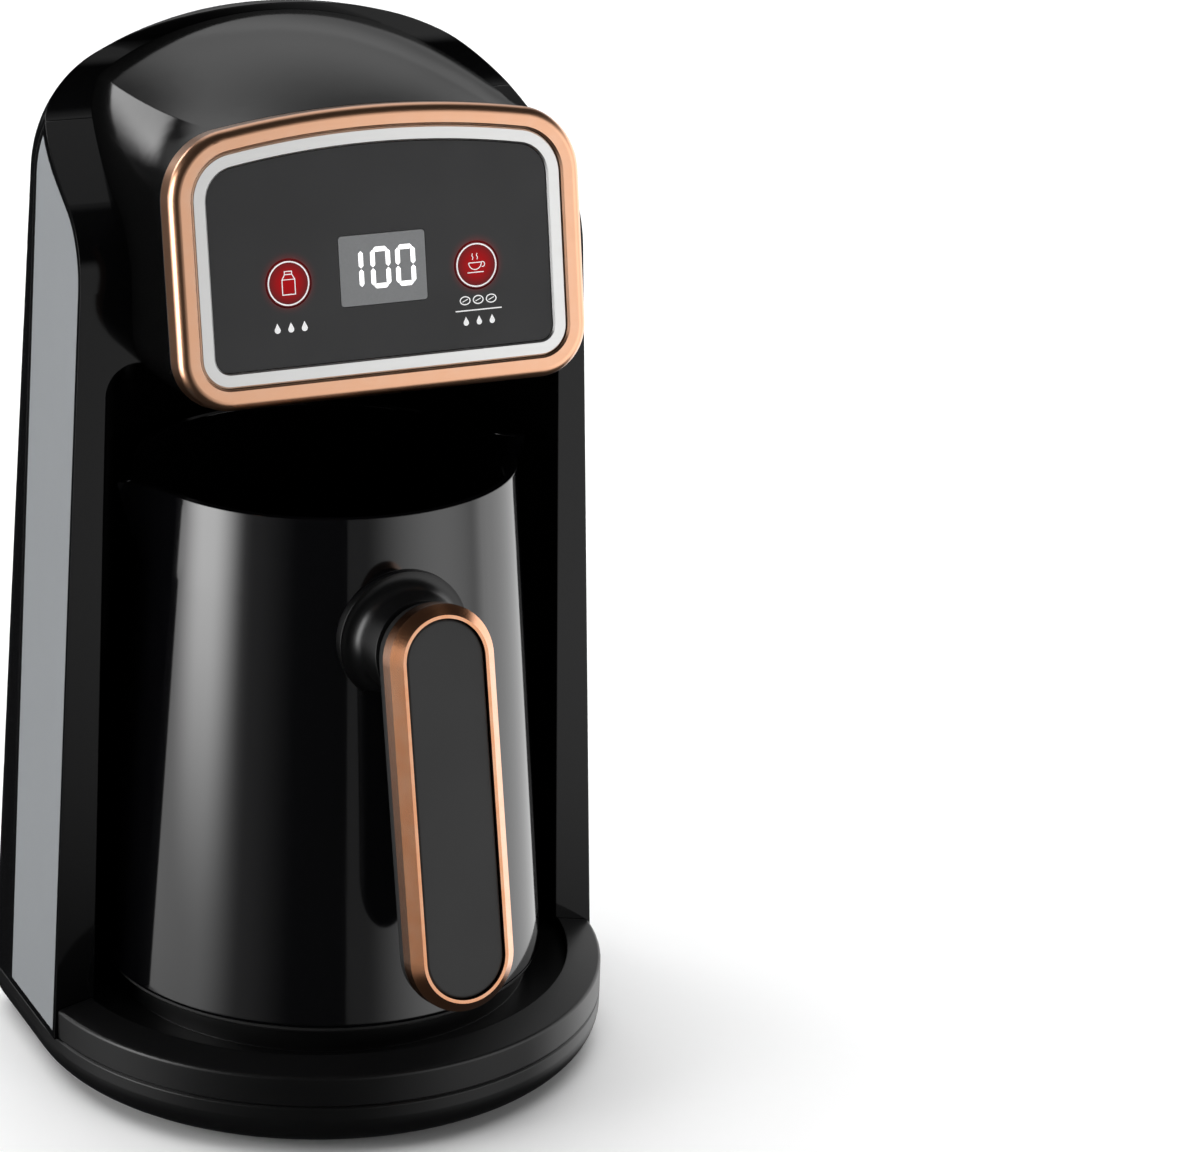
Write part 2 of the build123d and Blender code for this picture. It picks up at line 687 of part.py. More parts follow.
def base_screws():
    """Screws up through the tray into the deck and the column."""
    spots = BODY_SCREW_SPOTS + DECK_SCREW_SPOTS
    seat = FOOT_HEIGHT + SCREW_HEAD_TALL
    return group([Pos(x, y, seat) * screw(BASE_SCREW_LENGTH) for x, y in spots])


def base_deck():
    """Deck with its sloped band, the moat and the seat for the pot."""
    half = HALF_WIDTH
    profile = face_from(
        [
            ((0, SEAM_HEIGHT), None),
            ((half - SEAM_GROOVE, SEAM_HEIGHT), None),
            ((half, SEAM_HEIGHT + SEAM_GROOVE), None),
            ((half, DECK_HEIGHT - BAND_DROP), None),
            ((half - BAND_WIDTH, DECK_HEIGHT), None),
            ((0, DECK_HEIGHT), None),
        ]
    )
    round_front = Pos(0, BASE_CENTRE, 0) * revolve(Plane.XZ * profile, Axis.Z)
    edges = [edge for edge in round_front.edges() if abs(edge.center().Z - DECK_HEIGHT + BAND_DROP) < 0.1]
    round_front = fillet(edges, BAND_ROUND)
    reach = -PILLAR_FRONT - FIT_GAP
    front = round_front & block(-half - 5, half + 5, -2 * half, reach, 0, BODY_HEIGHT)
    deck = front + (bay_solid(-FIT_GAP, SEAM_HEIGHT, BAY_CEILING) & bay_floor_region(reach))
    inside = half - BAND_WIDTH
    moat = Pos(0, BASE_CENTRE, 0) * rod(inside, MOAT_HEIGHT, DECK_HEIGHT + 5)
    deck -= moat
    deck += rod(SEAT_RADIUS, MOAT_HEIGHT - 1, SEAT_HEIGHT)
    circles = deck.edges().filter_by(GeomType.CIRCLE)
    rim = [edge for edge in circles if abs(edge.center().Z - SEAT_HEIGHT) < 0.01]
    deck = fillet(rim, SEAT_ROUND)
    hollow = Pos(0, BASE_CENTRE, 0) * rod(inside - DECK_WALL, SEAM_HEIGHT - 1, MOAT_HEIGHT - DECK_WALL)
    limit = bay_solid(-FIT_GAP - DECK_WALL, SEAM_HEIGHT - 1, BAY_CEILING) + block(
        -half, half, -2 * half, reach - DECK_WALL, 0, BODY_HEIGHT
    )
    deck -= hollow & limit
    deck -= rod(SEAT_RADIUS - DECK_WALL, SEAM_HEIGHT - 1, SEAT_HEIGHT - DECK_WALL)
    for x, y in DECK_SCREW_SPOTS:
        deck += Pos(x, y, 0) * rod(BOSS_RADIUS, FOOT_HEIGHT + PAN_WALL + FIT_GAP, MOAT_HEIGHT - 0.5)
        deck -= Pos(x, y, FOOT_HEIGHT + PAN_WALL) * screw_hole(BASE_SCREW_LENGTH)
    return deck


def bay_floor_region(reach):
    """Slab of the deck that runs back under the bay."""
    return block(-HALF_WIDTH, HALF_WIDTH, reach - 0.01, BODY_REAR, SEAM_HEIGHT, MOAT_HEIGHT)


def power_board():
    """Board with the supply, on posts in the tray."""
    board = block(-POWER_HALF, POWER_HALF, POWER_FRONT, POWER_REAR, POWER_LIFT, POWER_TOP)
    for x, y in POWER_POSTS:
        board -= Pos(x, y, 0) * rod(SCREW_SHANK + FIT_GAP, 0, POWER_TOP + 1)
    return board


def power_board_screws():
    """Screws of the power board, driven from above."""
    down = Rot(180, 0, 0) * screw(POWER_SCREW_LENGTH)
    return group([Pos(x, y, POWER_TOP) * down for x, y in POWER_POSTS])


def on_power_board(x, y, long, deep, low, high):
    """Block on the power board, round its middle and from one height above the board to another."""
    return Pos(x, y, POWER_TOP) * block(-long / 2, long / 2, -deep / 2, deep / 2, low, high)


def power_relay():
    """Relay that switches the heater."""
    case = on_power_board(RELAY_X, RELAY_Y, RELAY_LONG, RELAY_DEEP, 0, RELAY_TALL)
    return fillet(case.edges().filter_by(Axis.Z), CASE_ROUND)


def transformer():
    """Small mains transformer: core and winding."""
    core = on_power_board(CORE_X, CORE_Y, CORE_LONG, CORE_DEEP, 0, CORE_TALL)
    return core + on_power_board(
        CORE_X, CORE_Y, WINDING_LONG, WINDING_DEEP, WINDING_LIFT, CORE_TALL - WINDING_LIFT
    )


def smoothing_capacitor():
    """Upright capacitor on the power board."""
    can = rod(CAPACITOR_RADIUS, 0, CAPACITOR_TALL)
    return Pos(CAPACITOR_X, CAPACITOR_Y, POWER_TOP) * fillet(can.edges().sort_by(Axis.Z)[-1], CASE_ROUND)


def terminal_block():
    """Screw terminals for the mains and the heater leads."""
    ways = 4
    body = on_power_board(TERMINAL_X, TERMINAL_Y, ways * TERMINAL_PITCH, TERMINAL_DEEP, 0, TERMINAL_TALL)
    for n in range(ways):
        x = TERMINAL_X + (n - (ways - 1) / 2) * TERMINAL_PITCH
        well = rod(TERMINAL_WELL, TERMINAL_TALL / 2, TERMINAL_TALL + 1)
        body -= Pos(x, TERMINAL_Y, POWER_TOP) * well
    return body


# Head and control panel


def front_outline(inset):
    """Outline of the panel: straight sides, round corners and an arched top."""
    half = HEAD_HALF - inset
    low = HEAD_LOW + inset
    corner = HEAD_CORNER - inset
    shoulder = HEAD_SHOULDER - inset
    top = HEAD_TOP_RADIUS - inset
    middle = HEAD_CREST - HEAD_TOP_RADIUS
    cx = half - shoulder
    cy = middle + sqrt((top - shoulder) ** 2 - cx**2)
    scale = top / (top - shoulder)
    tx = cx * scale
    ty = middle + (cy - middle) * scale
    away = hypot(half - cx + tx - cx, ty - cy)
    mx = cx + shoulder * (half - cx + tx - cx) / away
    my = cy + shoulder * (ty - cy) / away
    return section_face(half, low, corner, half, cy, (mx, my), (tx, ty), middle + top)


def section_face(half, low, corner, side, side_top, shoulder, ridge, crest):
    """Closed outline with eight edges: bottom, corners, sides, shoulders and arched top."""
    bend = corner * (1 - sqrt(0.5))
    return face_from(
        [
            ((corner - half, low), None),
            ((half - corner, low), (half - bend, low + bend)),
            ((half, low + corner), None),
            ((side, side_top), shoulder),
            (ridge, (0, crest)),
            ((-ridge[0], ridge[1]), (-shoulder[0], shoulder[1])),
            ((-side, side_top), None),
            ((-half, low + corner), (bend - half, low + bend)),
        ]
    )


def head_section(half, side_top, ridge, crest, inset):
    """Upright section of the head, with a ridge between shoulder and top."""
    x, z = ridge[0] - 0.75 * inset, ridge[1] - 0.66 * inset
    side = half - inset
    run, rise = x - side, z - side_top
    radius = (run**2 + rise**2) / (-2 * run)
    cx = side - radius
    ux, uz = (side + x) / 2 - cx, (z - side_top) / 2
    away = hypot(ux, uz)
    shoulder = (cx + radius * ux / away, side_top + radius * uz / away)
    low = HEAD_FLOOR + inset
    return section_face(side, low, HEAD_CORNER - inset, side, side_top, shoulder, (x, z), crest - inset)


def head_form(inset):
    """Form of the head from the bezel back to the column."""
    sections = [PANEL.offset(-BEZEL_DEPTH) * front_outline(inset)]
    for y, half, side_top, ridge, crest in HEAD_SECTIONS:
        sections.append(Plane.XZ.offset(-y) * head_section(half, side_top, ridge, crest, inset))
    return loft(sections)


def head_shell():
    """Hood over the bay: sides, top and the rim for the floor."""
    shell = head_form(0) & hood_region(FIT_GAP)
    shell -= head_form(HEAD_WALL)
    for x, z in HEAD_SCREW_SPOTS:
        boss = facing_back(x, -PILLAR_FRONT - FIT_GAP, z) * rod(BOSS_RADIUS, 0, HEAD_SCREW_LENGTH)
        shell += boss & head_form(0.5)
        shell -= facing_back(x, -PILLAR_FRONT + BODY_WALL, z) * screw_hole(HEAD_SCREW_LENGTH)
    shell -= block(-FLOOR_HALF, FLOOR_HALF, FLOOR_FRONT, FLOOR_BACK, 0, FLOOR_TOP + 1)
    return shell


def head_floor():
    """Plate in the underside of the hood, with the sensor's hole."""
    gap = FIT_GAP
    plate = block(
        gap - FLOOR_HALF, FLOOR_HALF - gap, FLOOR_FRONT + gap, FLOOR_BACK - gap, HEAD_FLOOR, FLOOR_TOP + gap
    )
    reach = FLOOR_HALF + FLOOR_FLANGE
    flange = block(
        -reach,
        reach,
        FLOOR_FRONT - FLOOR_FLANGE,
        FLOOR_BACK + FLOOR_FLANGE,
        FLOOR_TOP + gap,
        FLOOR_TOP + gap + FLOOR_FLANGE,
    )
    plate += flange
    return plate - Pos(0, SENSOR_Y, 0) * rod(SENSOR_RADIUS + FIT_GAP, HEAD_FLOOR - 5, PANEL_MIDDLE)


def sensor_window():
    """Clear window for the sensor that watches the pot."""
    top = FLOOR_TOP + FIT_GAP + FLOOR_FLANGE
    lens = rod(SENSOR_RADIUS, HEAD_FLOOR + LENS_SINK, top)
    lens += rod(SENSOR_RADIUS + SENSOR_FLANGE, top, top + LENS_THICK)
    return Pos(0, SENSOR_Y, 0) * lens


def sensor_module():
    """Sensor block on the window."""
    low = FLOOR_TOP + FIT_GAP + FLOOR_FLANGE + LENS_THICK
    box = Pos(0, SENSOR_Y, low + SENSOR_TALL / 2) * Box(SENSOR_LONG, SENSOR_DEEP, SENSOR_TALL)
    return fillet(box.edges().filter_by(Axis.Z), CASE_ROUND)


def head_screws():
    """Two screws from the column into the hood."""
    spots = [facing_back(x, -PILLAR_FRONT + BODY_WALL, z) for x, z in HEAD_SCREW_SPOTS]
    return group([spot * screw(HEAD_SCREW_LENGTH) for spot in spots])


def panel_ring(outer, inner, low, high):
    """Ring that follows the panel's outline between two depths."""
    face = front_outline(outer) - front_outline(inner)
    return Pos(0, 0, low) * extrude(face, amount=high - low)


def bezel_frame():
    """Copper frame round the panel, rounded outside."""
    frame = panel_ring(0, BEZEL_WIDTH, -BEZEL_DEPTH, 0)
    face = frame.faces().sort_by(Axis.Z)[-1]
    frame = fillet(face.outer_wire().edges(), BEZEL_ROUND)
    face = frame.faces().filter_by(Axis.Z).sort_by(Axis.Z)[-1]
    frame = chamfer(face.inner_wires()[0].edges(), 0.5)
    return PANEL * frame


def trim_ring():
    """Silver ring between the bezel and the glass."""
    outer = BEZEL_WIDTH + FIT_GAP
    ring = panel_ring(outer, outer + TRIM_WIDTH, GLASS_BACK, -TRIM_SINK)
    face = ring.faces().sort_by(Axis.Z)[-1]
    return PANEL * chamfer(face.edges(), 0.4)


def display_face(gap):
    """Outline of the display window."""
    return Pos(0, DISPLAY_Y) * RectangleRounded(
        DISPLAY_WIDTH + 2 * gap, DISPLAY_TALL + 2 * gap, DISPLAY_ROUND + gap
    )


def front_panel():
    """Dark glass with holes for the keys and the display."""
    face = front_outline(GLASS_INSET) - display_face(FIT_GAP)
    for side in SIDES:
        face -= Pos(side * KEY_X, KEY_Y) * Circle(KEY_RADIUS + SLIDE_GAP)
    return PANEL * (Pos(0, 0, GLASS_BACK) * extrude(face, amount=GLASS_THICK))


def display_window():
    """Smoked window of the display."""
    return PANEL * (Pos(0, 0, GLASS_BACK) * extrude(display_face(0), amount=GLASS_THICK))


def panel_carrier():
    """Frame behind the glass that holds the board."""
    seat = panel_ring(BEZEL_WIDTH + FIT_GAP, GLASS_INSET + CARRIER_RING, -BEZEL_DEPTH, GLASS_BACK)
    back = -BEZEL_DEPTH - CARRIER_FLANGE
    carrier = seat + panel_ring(HEAD_WALL + CARRIER_MARGIN, GLASS_INSET + CARRIER_RING, back, -BEZEL_DEPTH)
    for x, y in BOARD_POSTS:
        carrier += Pos(x, y, 0) * rod(POST_RADIUS, -BOARD_SINK, back + 0.5)
        carrier -= Pos(x, y, 0) * rod(SCREW_SHANK + SCREW_GAP, -BOARD_SINK - 1, back - 0.6)
    return PANEL * carrier


def control_board():
    """Board behind the panel."""
    board = block(-BOARD_HALF, BOARD_HALF, BOARD_LOW, BOARD_HIGH, BOARD_BACK, -BOARD_SINK)
    for x, y in BOARD_POSTS:
        board -= Pos(x, y, 0) * rod(SCREW_SHANK + FIT_GAP, BOARD_BACK - 1, 0)
    return PANEL * board


def control_board_screws():
    """Screws of the control board, driven from behind."""
    return group([PANEL * (Pos(x, y, BOARD_BACK) * screw(BOARD_SCREW_LENGTH)) for x, y in BOARD_POSTS])


def display_module():
    """Display block between the board and the window."""
    face = Pos(0, DISPLAY_Y) * Rectangle(DISPLAY_WIDTH + 2 * DISPLAY_LAP, DISPLAY_TALL + 2 * DISPLAY_LAP)
    high = GLASS_BACK - FIT_GAP
    return PANEL * (Pos(0, 0, -BOARD_SINK) * extrude(face, amount=BOARD_SINK + high))


def key_cap(side):
    """Round key with a lip behind the glass and a stem to its switch."""
    cap = rod(KEY_RADIUS, KEY_BACK, -GLASS_SINK)
    cap += rod(KEY_RADIUS + KEY_LIP, KEY_BACK, KEY_BACK + KEY_LIP_THICK)
    cap += rod(KEY_STEM, PLUNGER_TOP, KEY_BACK)
    return PANEL * (Pos(side * KEY_X, KEY_Y, 0) * cap)


def key_plunger(side):
    """Plunger of the switch under one key, which moves with the key."""
    pin = rod(KEY_STEM, SWITCH_TOP - SWITCH_WELL, PLUNGER_TOP)
    return PANEL * (Pos(side * KEY_X, KEY_Y, 0) * pin)


def key_switches():
    """Two switches on the control board."""
    half = SWITCH_SIDE / 2
    case = block(-half, half, -half, half, -BOARD_SINK, SWITCH_TOP)
    case -= rod(KEY_STEM + 2 * SCREW_GAP, SWITCH_TOP - SWITCH_WELL - KEY_TRAVEL - KEY_SPARE, SWITCH_TOP + 1)
    return group([PANEL * (Pos(side * KEY_X, KEY_Y, 0) * case) for side in SIDES])


def light_guides():
    """Clear sleeves that carry light to the keys."""
    low = -BOARD_SINK
    high = KEY_BACK - KEY_TRAVEL - 2 * SLIDE_GAP
    inner = SWITCH_SIDE * sqrt(0.5) + GUIDE_GAP
    sleeve = rod(inner + GUIDE_WALL, low, high) - rod(inner, low - 1, high + 1)
    return group([PANEL * (Pos(side * KEY_X, KEY_Y, 0) * sleeve) for side in SIDES])


def buzzer():
    """Round buzzer on the back of the control board."""
    low = BOARD_BACK - BUZZER_TALL
    can = rod(BUZZER_RADIUS, low, BOARD_BACK) - rod(BUZZER_HOLE, low - 1, low + BUZZER_TALL / 2)
    return PANEL * (Pos(BUZZER_SET - POST_X, 0, 0) * can)


def board_connector():
    """Plug-in connector on the back of the control board."""
    shell = Box(CONNECTOR_LONG, CONNECTOR_WIDE, CONNECTOR_TALL)
    return PANEL * (Pos(CONNECTOR_X, CONNECTOR_Y, BOARD_BACK - CONNECTOR_TALL / 2) * shell)


# Wiring


def lead(points, radius, bend):
    """Round lead along straight runs with bends between them."""
    path = FilletPolyline(*points, radius=bend)
    start = Plane(origin=path @ 0, z_dir=path % 0)
    return sweep(start * Circle(radius), path)


def round_bay(gap, radius, z):
    """Place behind the bay's wall, at the loom's side."""
    away = radius + BAY_WALL + gap
    turn = radians(LOOM_TURN)
    return (away * cos(turn), BAY_CENTRE + away * sin(turn), z)


def wiring_loom():
    """Lead up the column to the control board, and lead from the dock to the power board."""
    back = BOARD_BACK - CONNECTOR_TALL - FIT_GAP
    plug = PANEL.from_local_coords((CONNECTOR_X, CONNECTOR_Y, back))
    away = PANEL.from_local_coords((CONNECTOR_X, CONNECTOR_Y, back - PLUG_RUN))
    level = POWER_TOP + LOOM_RADIUS + SCREW_GAP
    rise = BAY_CEILING + LOOM_RISE
    up = lead(
        [
            (LOOM_X, LOOM_Y, level),
            round_bay(LOOM_LOW_GAP, BAY_RADIUS, level),
            round_bay(LOOM_TOP_GAP, BAY_TOP_RADIUS, rise),
            (LOOM_WINDOW - LOOM_RADIUS - SLIDE_GAP, LOOM_Y, rise + LOOM_STEP),
            tuple(away),
            tuple(plug),
        ],
        LOOM_RADIUS,
        LOOM_BEND,
    )
    dock = DOCK_HEIGHT - PLUG_TALL / 2 - DOCK_MARGIN - FIT_GAP
    y = BAY_CENTRE + BAY_RADIUS + BAY_WALL + DUCT_DEPTH / 2
    turn = POWER_TOP + DOCK_LEAD + FIT_GAP
    down = lead(
        [(0, y, dock), (0, y, turn), (0, POWER_REAR - POWER_POST_SET, turn)], DOCK_LEAD, DOCK_LEAD_BEND
    )
    return group([up, down])


# Dock between pot and stand


def pot_radius(z):
    """Outside radius of the pot's wall at a height."""
    share = (z - POT_SKIRT) / (POT_RIM_HEIGHT - POT_SKIRT)
    return POT_RADIUS + (POT_RIM_RADIUS - POT_RADIUS) * share


def plug_face():
    """Where the pot's plug ends and the dock begins."""
    return pot_radius(DOCK_HEIGHT) + PLUG_PROUD


def dock_back():
    """Back of the dock socket, just inside the back cover."""
    drop = REAR_BOW - sqrt(REAR_BOW**2 - (PLUG_WIDTH / 2 + DOCK_MARGIN) ** 2)
    lean = tan(REAR_LEAN) * (DOCK_HEIGHT + PLUG_TALL - SEAM_HEIGHT)
    return BODY_REAR - BODY_WALL - drop - lean - SLIDE_GAP


def dock_socket():
    """Socket in the back wall of the bay."""
    half = PLUG_WIDTH / 2 + DOCK_MARGIN
    tall = PLUG_TALL / 2 + DOCK_MARGIN
    low, high = DOCK_HEIGHT - tall, DOCK_HEIGHT + tall
    body = block(-half, half, plug_face() + SLIDE_GAP, dock_back(), low, high)
    body = fillet(body.edges().filter_by(Axis.Y), CASE_ROUND)
    for x in PIN_SPOTS:
        body -= facing_back(x, BODY_REAR, DOCK_HEIGHT) * rod(contact_radius() + SCREW_GAP, 0, BODY_REAR)
    return body


def contact_radius():
    """Outside radius of a contact sleeve."""
    return PIN_RADIUS + SLEEVE_WALL


def dock_contacts():
    """Three brass sleeves in the socket."""
    back = dock_back()
    deep = back - plug_face() - SLIDE_GAP
    sleeve = rod(contact_radius(), 0, deep - SLIDE_GAP) - rod(PIN_RADIUS + 2 * SCREW_GAP, -1, deep + 1)
    return group([facing_back(x, back, DOCK_HEIGHT) * sleeve for x in PIN_SPOTS])


def pot_plug():
    """Plug block that passes through the pot's wall."""
    half, tall = PLUG_WIDTH / 2, PLUG_TALL / 2
    face = plug_face()
    body = block(-half, half, face - PLUG_DEEP, face, DOCK_HEIGHT - tall, DOCK_HEIGHT + tall)
    body = fillet(body.edges().filter_by(Axis.Y), CASE_ROUND)
    for x in PIN_SPOTS:
        body -= facing_back(x, BODY_REAR, DOCK_HEIGHT) * rod(PIN_RADIUS + SCREW_GAP, 0, BODY_REAR)
    return body


def plug_pins():
    """Three pins of the pot's plug."""
    end = plug_face() + PIN_LENGTH
    pin = rod(PIN_RADIUS, 0, PIN_LENGTH + PIN_ROOT)
    pin = fillet(pin.edges().sort_by(Axis.Z)[0], 0.4 * PIN_RADIUS)
    return group([facing_back(x, end, DOCK_HEIGHT) * pin for x in PIN_SPOTS])


# Pot


def round_outline(radius):
    """Circle cut into the same six edges as the rim."""
    turn = radians(SPOUT_HALF_ANGLE)
    x, y = radius * cos(turn), radius * sin(turn)
    mx, my = radius * cos(turn / 2), radius * sin(turn / 2)
    return face_from(
        [
            ((-x, -y), (0, -radius)),
            ((x, -y), (mx, -my)),
            ((radius, 0), (mx, my)),
            ((x, y), (0, radius)),
            ((-x, y), (-mx, my)),
            ((-radius, 0), (-mx, -my)),
        ]
    )


def rim_outline(radius, reach):
    """Rim with its lips, edge for edge like the round outline."""
    turn = radians(SPOUT_HALF_ANGLE)
    x, y = radius * cos(turn), radius * sin(turn)
    ax, ay = x + 1.1 * SPOUT_PROUD * sin(turn), y - 1.1 * SPOUT_PROUD * cos(turn)
    bx, by = reach - 0.62 * SPOUT_PROUD, 0.25 * SPOUT_PROUD
    edges = [
        ThreePointArc((-x, -y), (0, -radius), (x, -y)),
        Bezier((x, -y), (ax, -ay), (bx, -by), (reach, 0)),
        Bezier((reach, 0), (bx, by), (ax, ay), (x, y)),
        ThreePointArc((x, y), (0, radius), (-x, y)),
        Bezier((-x, y), (-ax, ay), (-bx, by), (-reach, 0)),
        Bezier((-reach, 0), (-bx, -by), (-ax, -ay), (-x, -y)),
    ]
    return make_face(edges)


def wall_cone(grow):
    """Plain cone of the pot's wall, made larger by grow."""
    tall = POT_RIM_HEIGHT - POT_SKIRT
    return Pos(0, 0, POT_SKIRT + tall / 2) * Cone(POT_RADIUS + grow, POT_RIM_RADIUS + grow, tall)


def pot_form(inset, low):
    """Outside or inside of the pot's wall, from the height low to the rim."""
    start = POT_RIM_HEIGHT - SPOUT_DEPTH
    cone = Cone(pot_radius(low) - inset, pot_radius(start) - inset, start - low)
    cone = Pos(0, 0, (low + start) / 2) * cone
    cone = fillet(cone.edges().filter_by(GeomType.CIRCLE).sort_by(Axis.Z)[0], POT_SOFT)
    lower = Pos(0, 0, start) * round_outline(pot_radius(start) - inset)
    upper = Pos(0, 0, POT_RIM_HEIGHT) * rim_outline(POT_RIM_RADIUS - inset, SPOUT_REACH - 1.3 * inset)
    return cone + loft([lower, upper], ruled=True)


def ledge_radius():
    """Inside radius of the ledge that carries the heater plate."""
    return pot_radius(POT_FLOOR) - POT_WALL - LEDGE_WIDTH


def pot_vessel():
    """Wall of the pot with its two lips, the ledge and the window for the plug."""
    vessel = pot_form(0, POT_SKIRT) - pot_form(POT_WALL, POT_SKIRT - 2)
    inner = pot_radius(POT_FLOOR) - POT_WALL
    vessel += rod(inner + POT_WALL / 2, LEDGE_LOW, POT_FLOOR) - rod(ledge_radius(), 0, POT_RIM_HEIGHT)
    boss_low = POT_SKIRT + BASE_LIP + FIT_GAP
    for x, y in POT_SCREW_SPOTS:
        spot = Pos(x, y, 0)
        web = Pos(x * 1.07, y * 1.07, 0) * rod(BOSS_RADIUS, boss_low, LEDGE_LOW + 1)
        vessel += (spot * rod(BOSS_RADIUS, boss_low, POT_FLOOR)) + web
        vessel -= spot * rod(SCREW_SHANK + SCREW_GAP, POT_SKIRT, POT_FLOOR - 1.5)
    half, tall = PLUG_WIDTH / 2 + FIT_GAP, PLUG_TALL / 2 + FIT_GAP
    vessel -= block(-half, half, POT_RADIUS / 2, BODY_REAR, DOCK_HEIGHT - tall, DOCK_HEIGHT + tall)
    return vessel


def plate_radius():
    """Radius of the heater plate, inside its seal."""
    return pot_radius(POT_FLOOR + PLATE_THICK + 1) - POT_WALL - SEAL_WIDTH - FIT_GAP


def heater_plate():
    """Steel floor of the pot."""
    return rod(plate_radius(), POT_FLOOR + FIT_GAP, POT_FLOOR + FIT_GAP + PLATE_THICK)


def plate_seal():
    """Silicone ring round the heater plate."""
    low = POT_FLOOR + FIT_GAP
    high = low + PLATE_THICK + SEAL_PROUD
    ring = rod(pot_radius(high) - POT_WALL - SCREW_GAP, low, high)
    return ring - rod(plate_radius() + SCREW_GAP, 0, high + 1)


def heating_element():
    """Ring rod under the plate, with two straight ends."""
    level = POT_FLOOR + FIT_GAP - ELEMENT_ROD
    path = CenterArc((0, 0, level), ELEMENT_RADIUS, 120, 300)
    ring = sweep(Plane(origin=path @ 0, z_dir=path % 0) * Circle(ELEMENT_ROD - 0.02), path)
    ends = []
    for point in (path @ 0, path @ 1):
        ends.append(Pos(point.X, point.Y, 0) * rod(ELEMENT_PIN, POT_SKIRT + BASE_LIP + 0.5, level))
    return ring + ends[0] + ends[1]


def thermal_cutout():
    """Disc thermostat pressed under the plate."""
    top = POT_FLOOR + FIT_GAP
    disc = rod(CUTOUT_RADIUS, top - CUTOUT_FLANGE, top)
    return disc + rod(CUTOUT_NECK, top - CUTOUT_TALL, top - CUTOUT_FLANGE)


def temperature_probe():
    """Probe under the plate."""
    top = POT_FLOOR + FIT_GAP
    disc = rod(PROBE_RADIUS, top - PROBE_FLANGE, top)
    return Pos(0, PROBE_Y, 0) * (disc + rod(PROBE_NECK, top - PROBE_TALL, top - PROBE_FLANGE))


def pot_base():
    """Cover under the pot."""
    edge = pot_radius(POT_SKIRT) - BASE_RIM
    plate = rod(edge, POT_BASE, POT_SKIRT - FIT_GAP)
    plate = chamfer(plate.edges().sort_by(Axis.Z)[0], 0.75 * BASE_RIM)
    inner = pot_radius(POT_SKIRT + BASE_LIP) - POT_WALL - FIT_GAP
    plate += rod(inner, POT_SKIRT - FIT_GAP - 0.01, POT_SKIRT + BASE_LIP)
    plate -= rod(inner - BASE_LIP_WALL, POT_SKIRT + BASE_LIP / 3, POT_FLOOR)
    for x, y in POT_SCREW_SPOTS:
        plate += Pos(x, y, 0) * rod(BOSS_RADIUS, POT_SKIRT, POT_SKIRT + BASE_LIP)
        plate -= Pos(x, y, 0) * rod(SCREW_SHANK + FIT_GAP, 0, POT_FLOOR)
        plate -= Pos(x, y, POT_BASE + SCREW_HEAD_TALL + 2 * SCREW_GAP) * screw_sink()
    return plate


def pot_base_screws():
    """Three screws up into the pot."""
    seat = POT_BASE + SCREW_HEAD_TALL + 2 * SCREW_GAP
    return group([Pos(x, y, seat) * screw(POT_SCREW_LENGTH) for x, y in POT_SCREW_SPOTS])


# Handle


def grip_outline(inset):
    """Tall outline with half-round ends."""
    return SlotOverall(HANDLE_LENGTH - 2 * inset, HANDLE_WIDTH - 2 * inset, rotation=90)


def handle_frame():
    """Copper frame round the front of the grip, sloped outside."""
    face = grip_outline(0) - grip_outline(FRAME_WIDTH)
    frame = Pos(0, 0, -FRAME_DEPTH) * extrude(face, amount=FRAME_DEPTH)
    front = frame.faces().sort_by(Axis.Z)[-1]
    frame = chamfer(front.outer_wire().edges(), FRAME_SLOPE)
    return HANDLE * frame


def handle_inlay():
    """Dark inlay in the frame."""
    pad = extrude(grip_outline(FRAME_WIDTH + FIT_GAP), amount=INLAY_THICK)
    pad = Pos(0, 0, -INLAY_SINK - INLAY_THICK) * pad
    return HANDLE * fillet(pad.faces().sort_by(Axis.Z)[-1].edges(), INLAY_ROUND)


def handle_core():
    """Back half of the grip, with a tongue into the frame."""
    back = Pos(0, 0, -HANDLE_DEPTH) * extrude(grip_outline(CORE_INSET), amount=HANDLE_DEPTH - FRAME_DEPTH)
    back = fillet(back.faces().sort_by(Axis.Z)[0].edges(), CORE_ROUND)
    tongue = Pos(0, 0, -FRAME_DEPTH - 0.5) * extrude(
        grip_outline(FRAME_WIDTH + FIT_GAP), amount=FRAME_DEPTH + 0.5 - INLAY_SINK - INLAY_THICK
    )
    core = HANDLE * (back + tongue)
    return core - neck_axis() * rod(BOLT_RADIUS + FIT_GAP, 0, HANDLE_FRONT) - bolt_head(FIT_GAP)


def neck_axis():
    """Place on the pot's axis with its +z forward, at the height of the neck."""
    return Plane(origin=(0, 0, NECK_HEIGHT), x_dir=(1, 0, 0), z_dir=(0, -1, 0))


def neck_seat():
    """Distance from the pot's axis to the back of the grip at the neck's height."""
    return HANDLE_FRONT - (NECK_HEIGHT - HANDLE_MIDDLE) * tan(GRIP) - HANDLE_DEPTH / cos(GRIP)


def bolt_head(gap):
    """Head of the handle's bolt, under the inlay."""
    low = neck_seat() + BOLT_HEAD_SINK - gap
    return neck_axis() * rod(BOLT_HEAD + gap, low, low + BOLT_HEAD_TALL + 2 * gap)


def handle_bolt():
    """Bolt from the grip through the neck to the pot's wall."""
    wall = pot_radius(NECK_HEIGHT) + 2 * SLIDE_GAP
    return neck_axis() * rod(BOLT_RADIUS, wall, neck_seat() + BOLT_HEAD_SINK + FIT_GAP) + bolt_head(0)


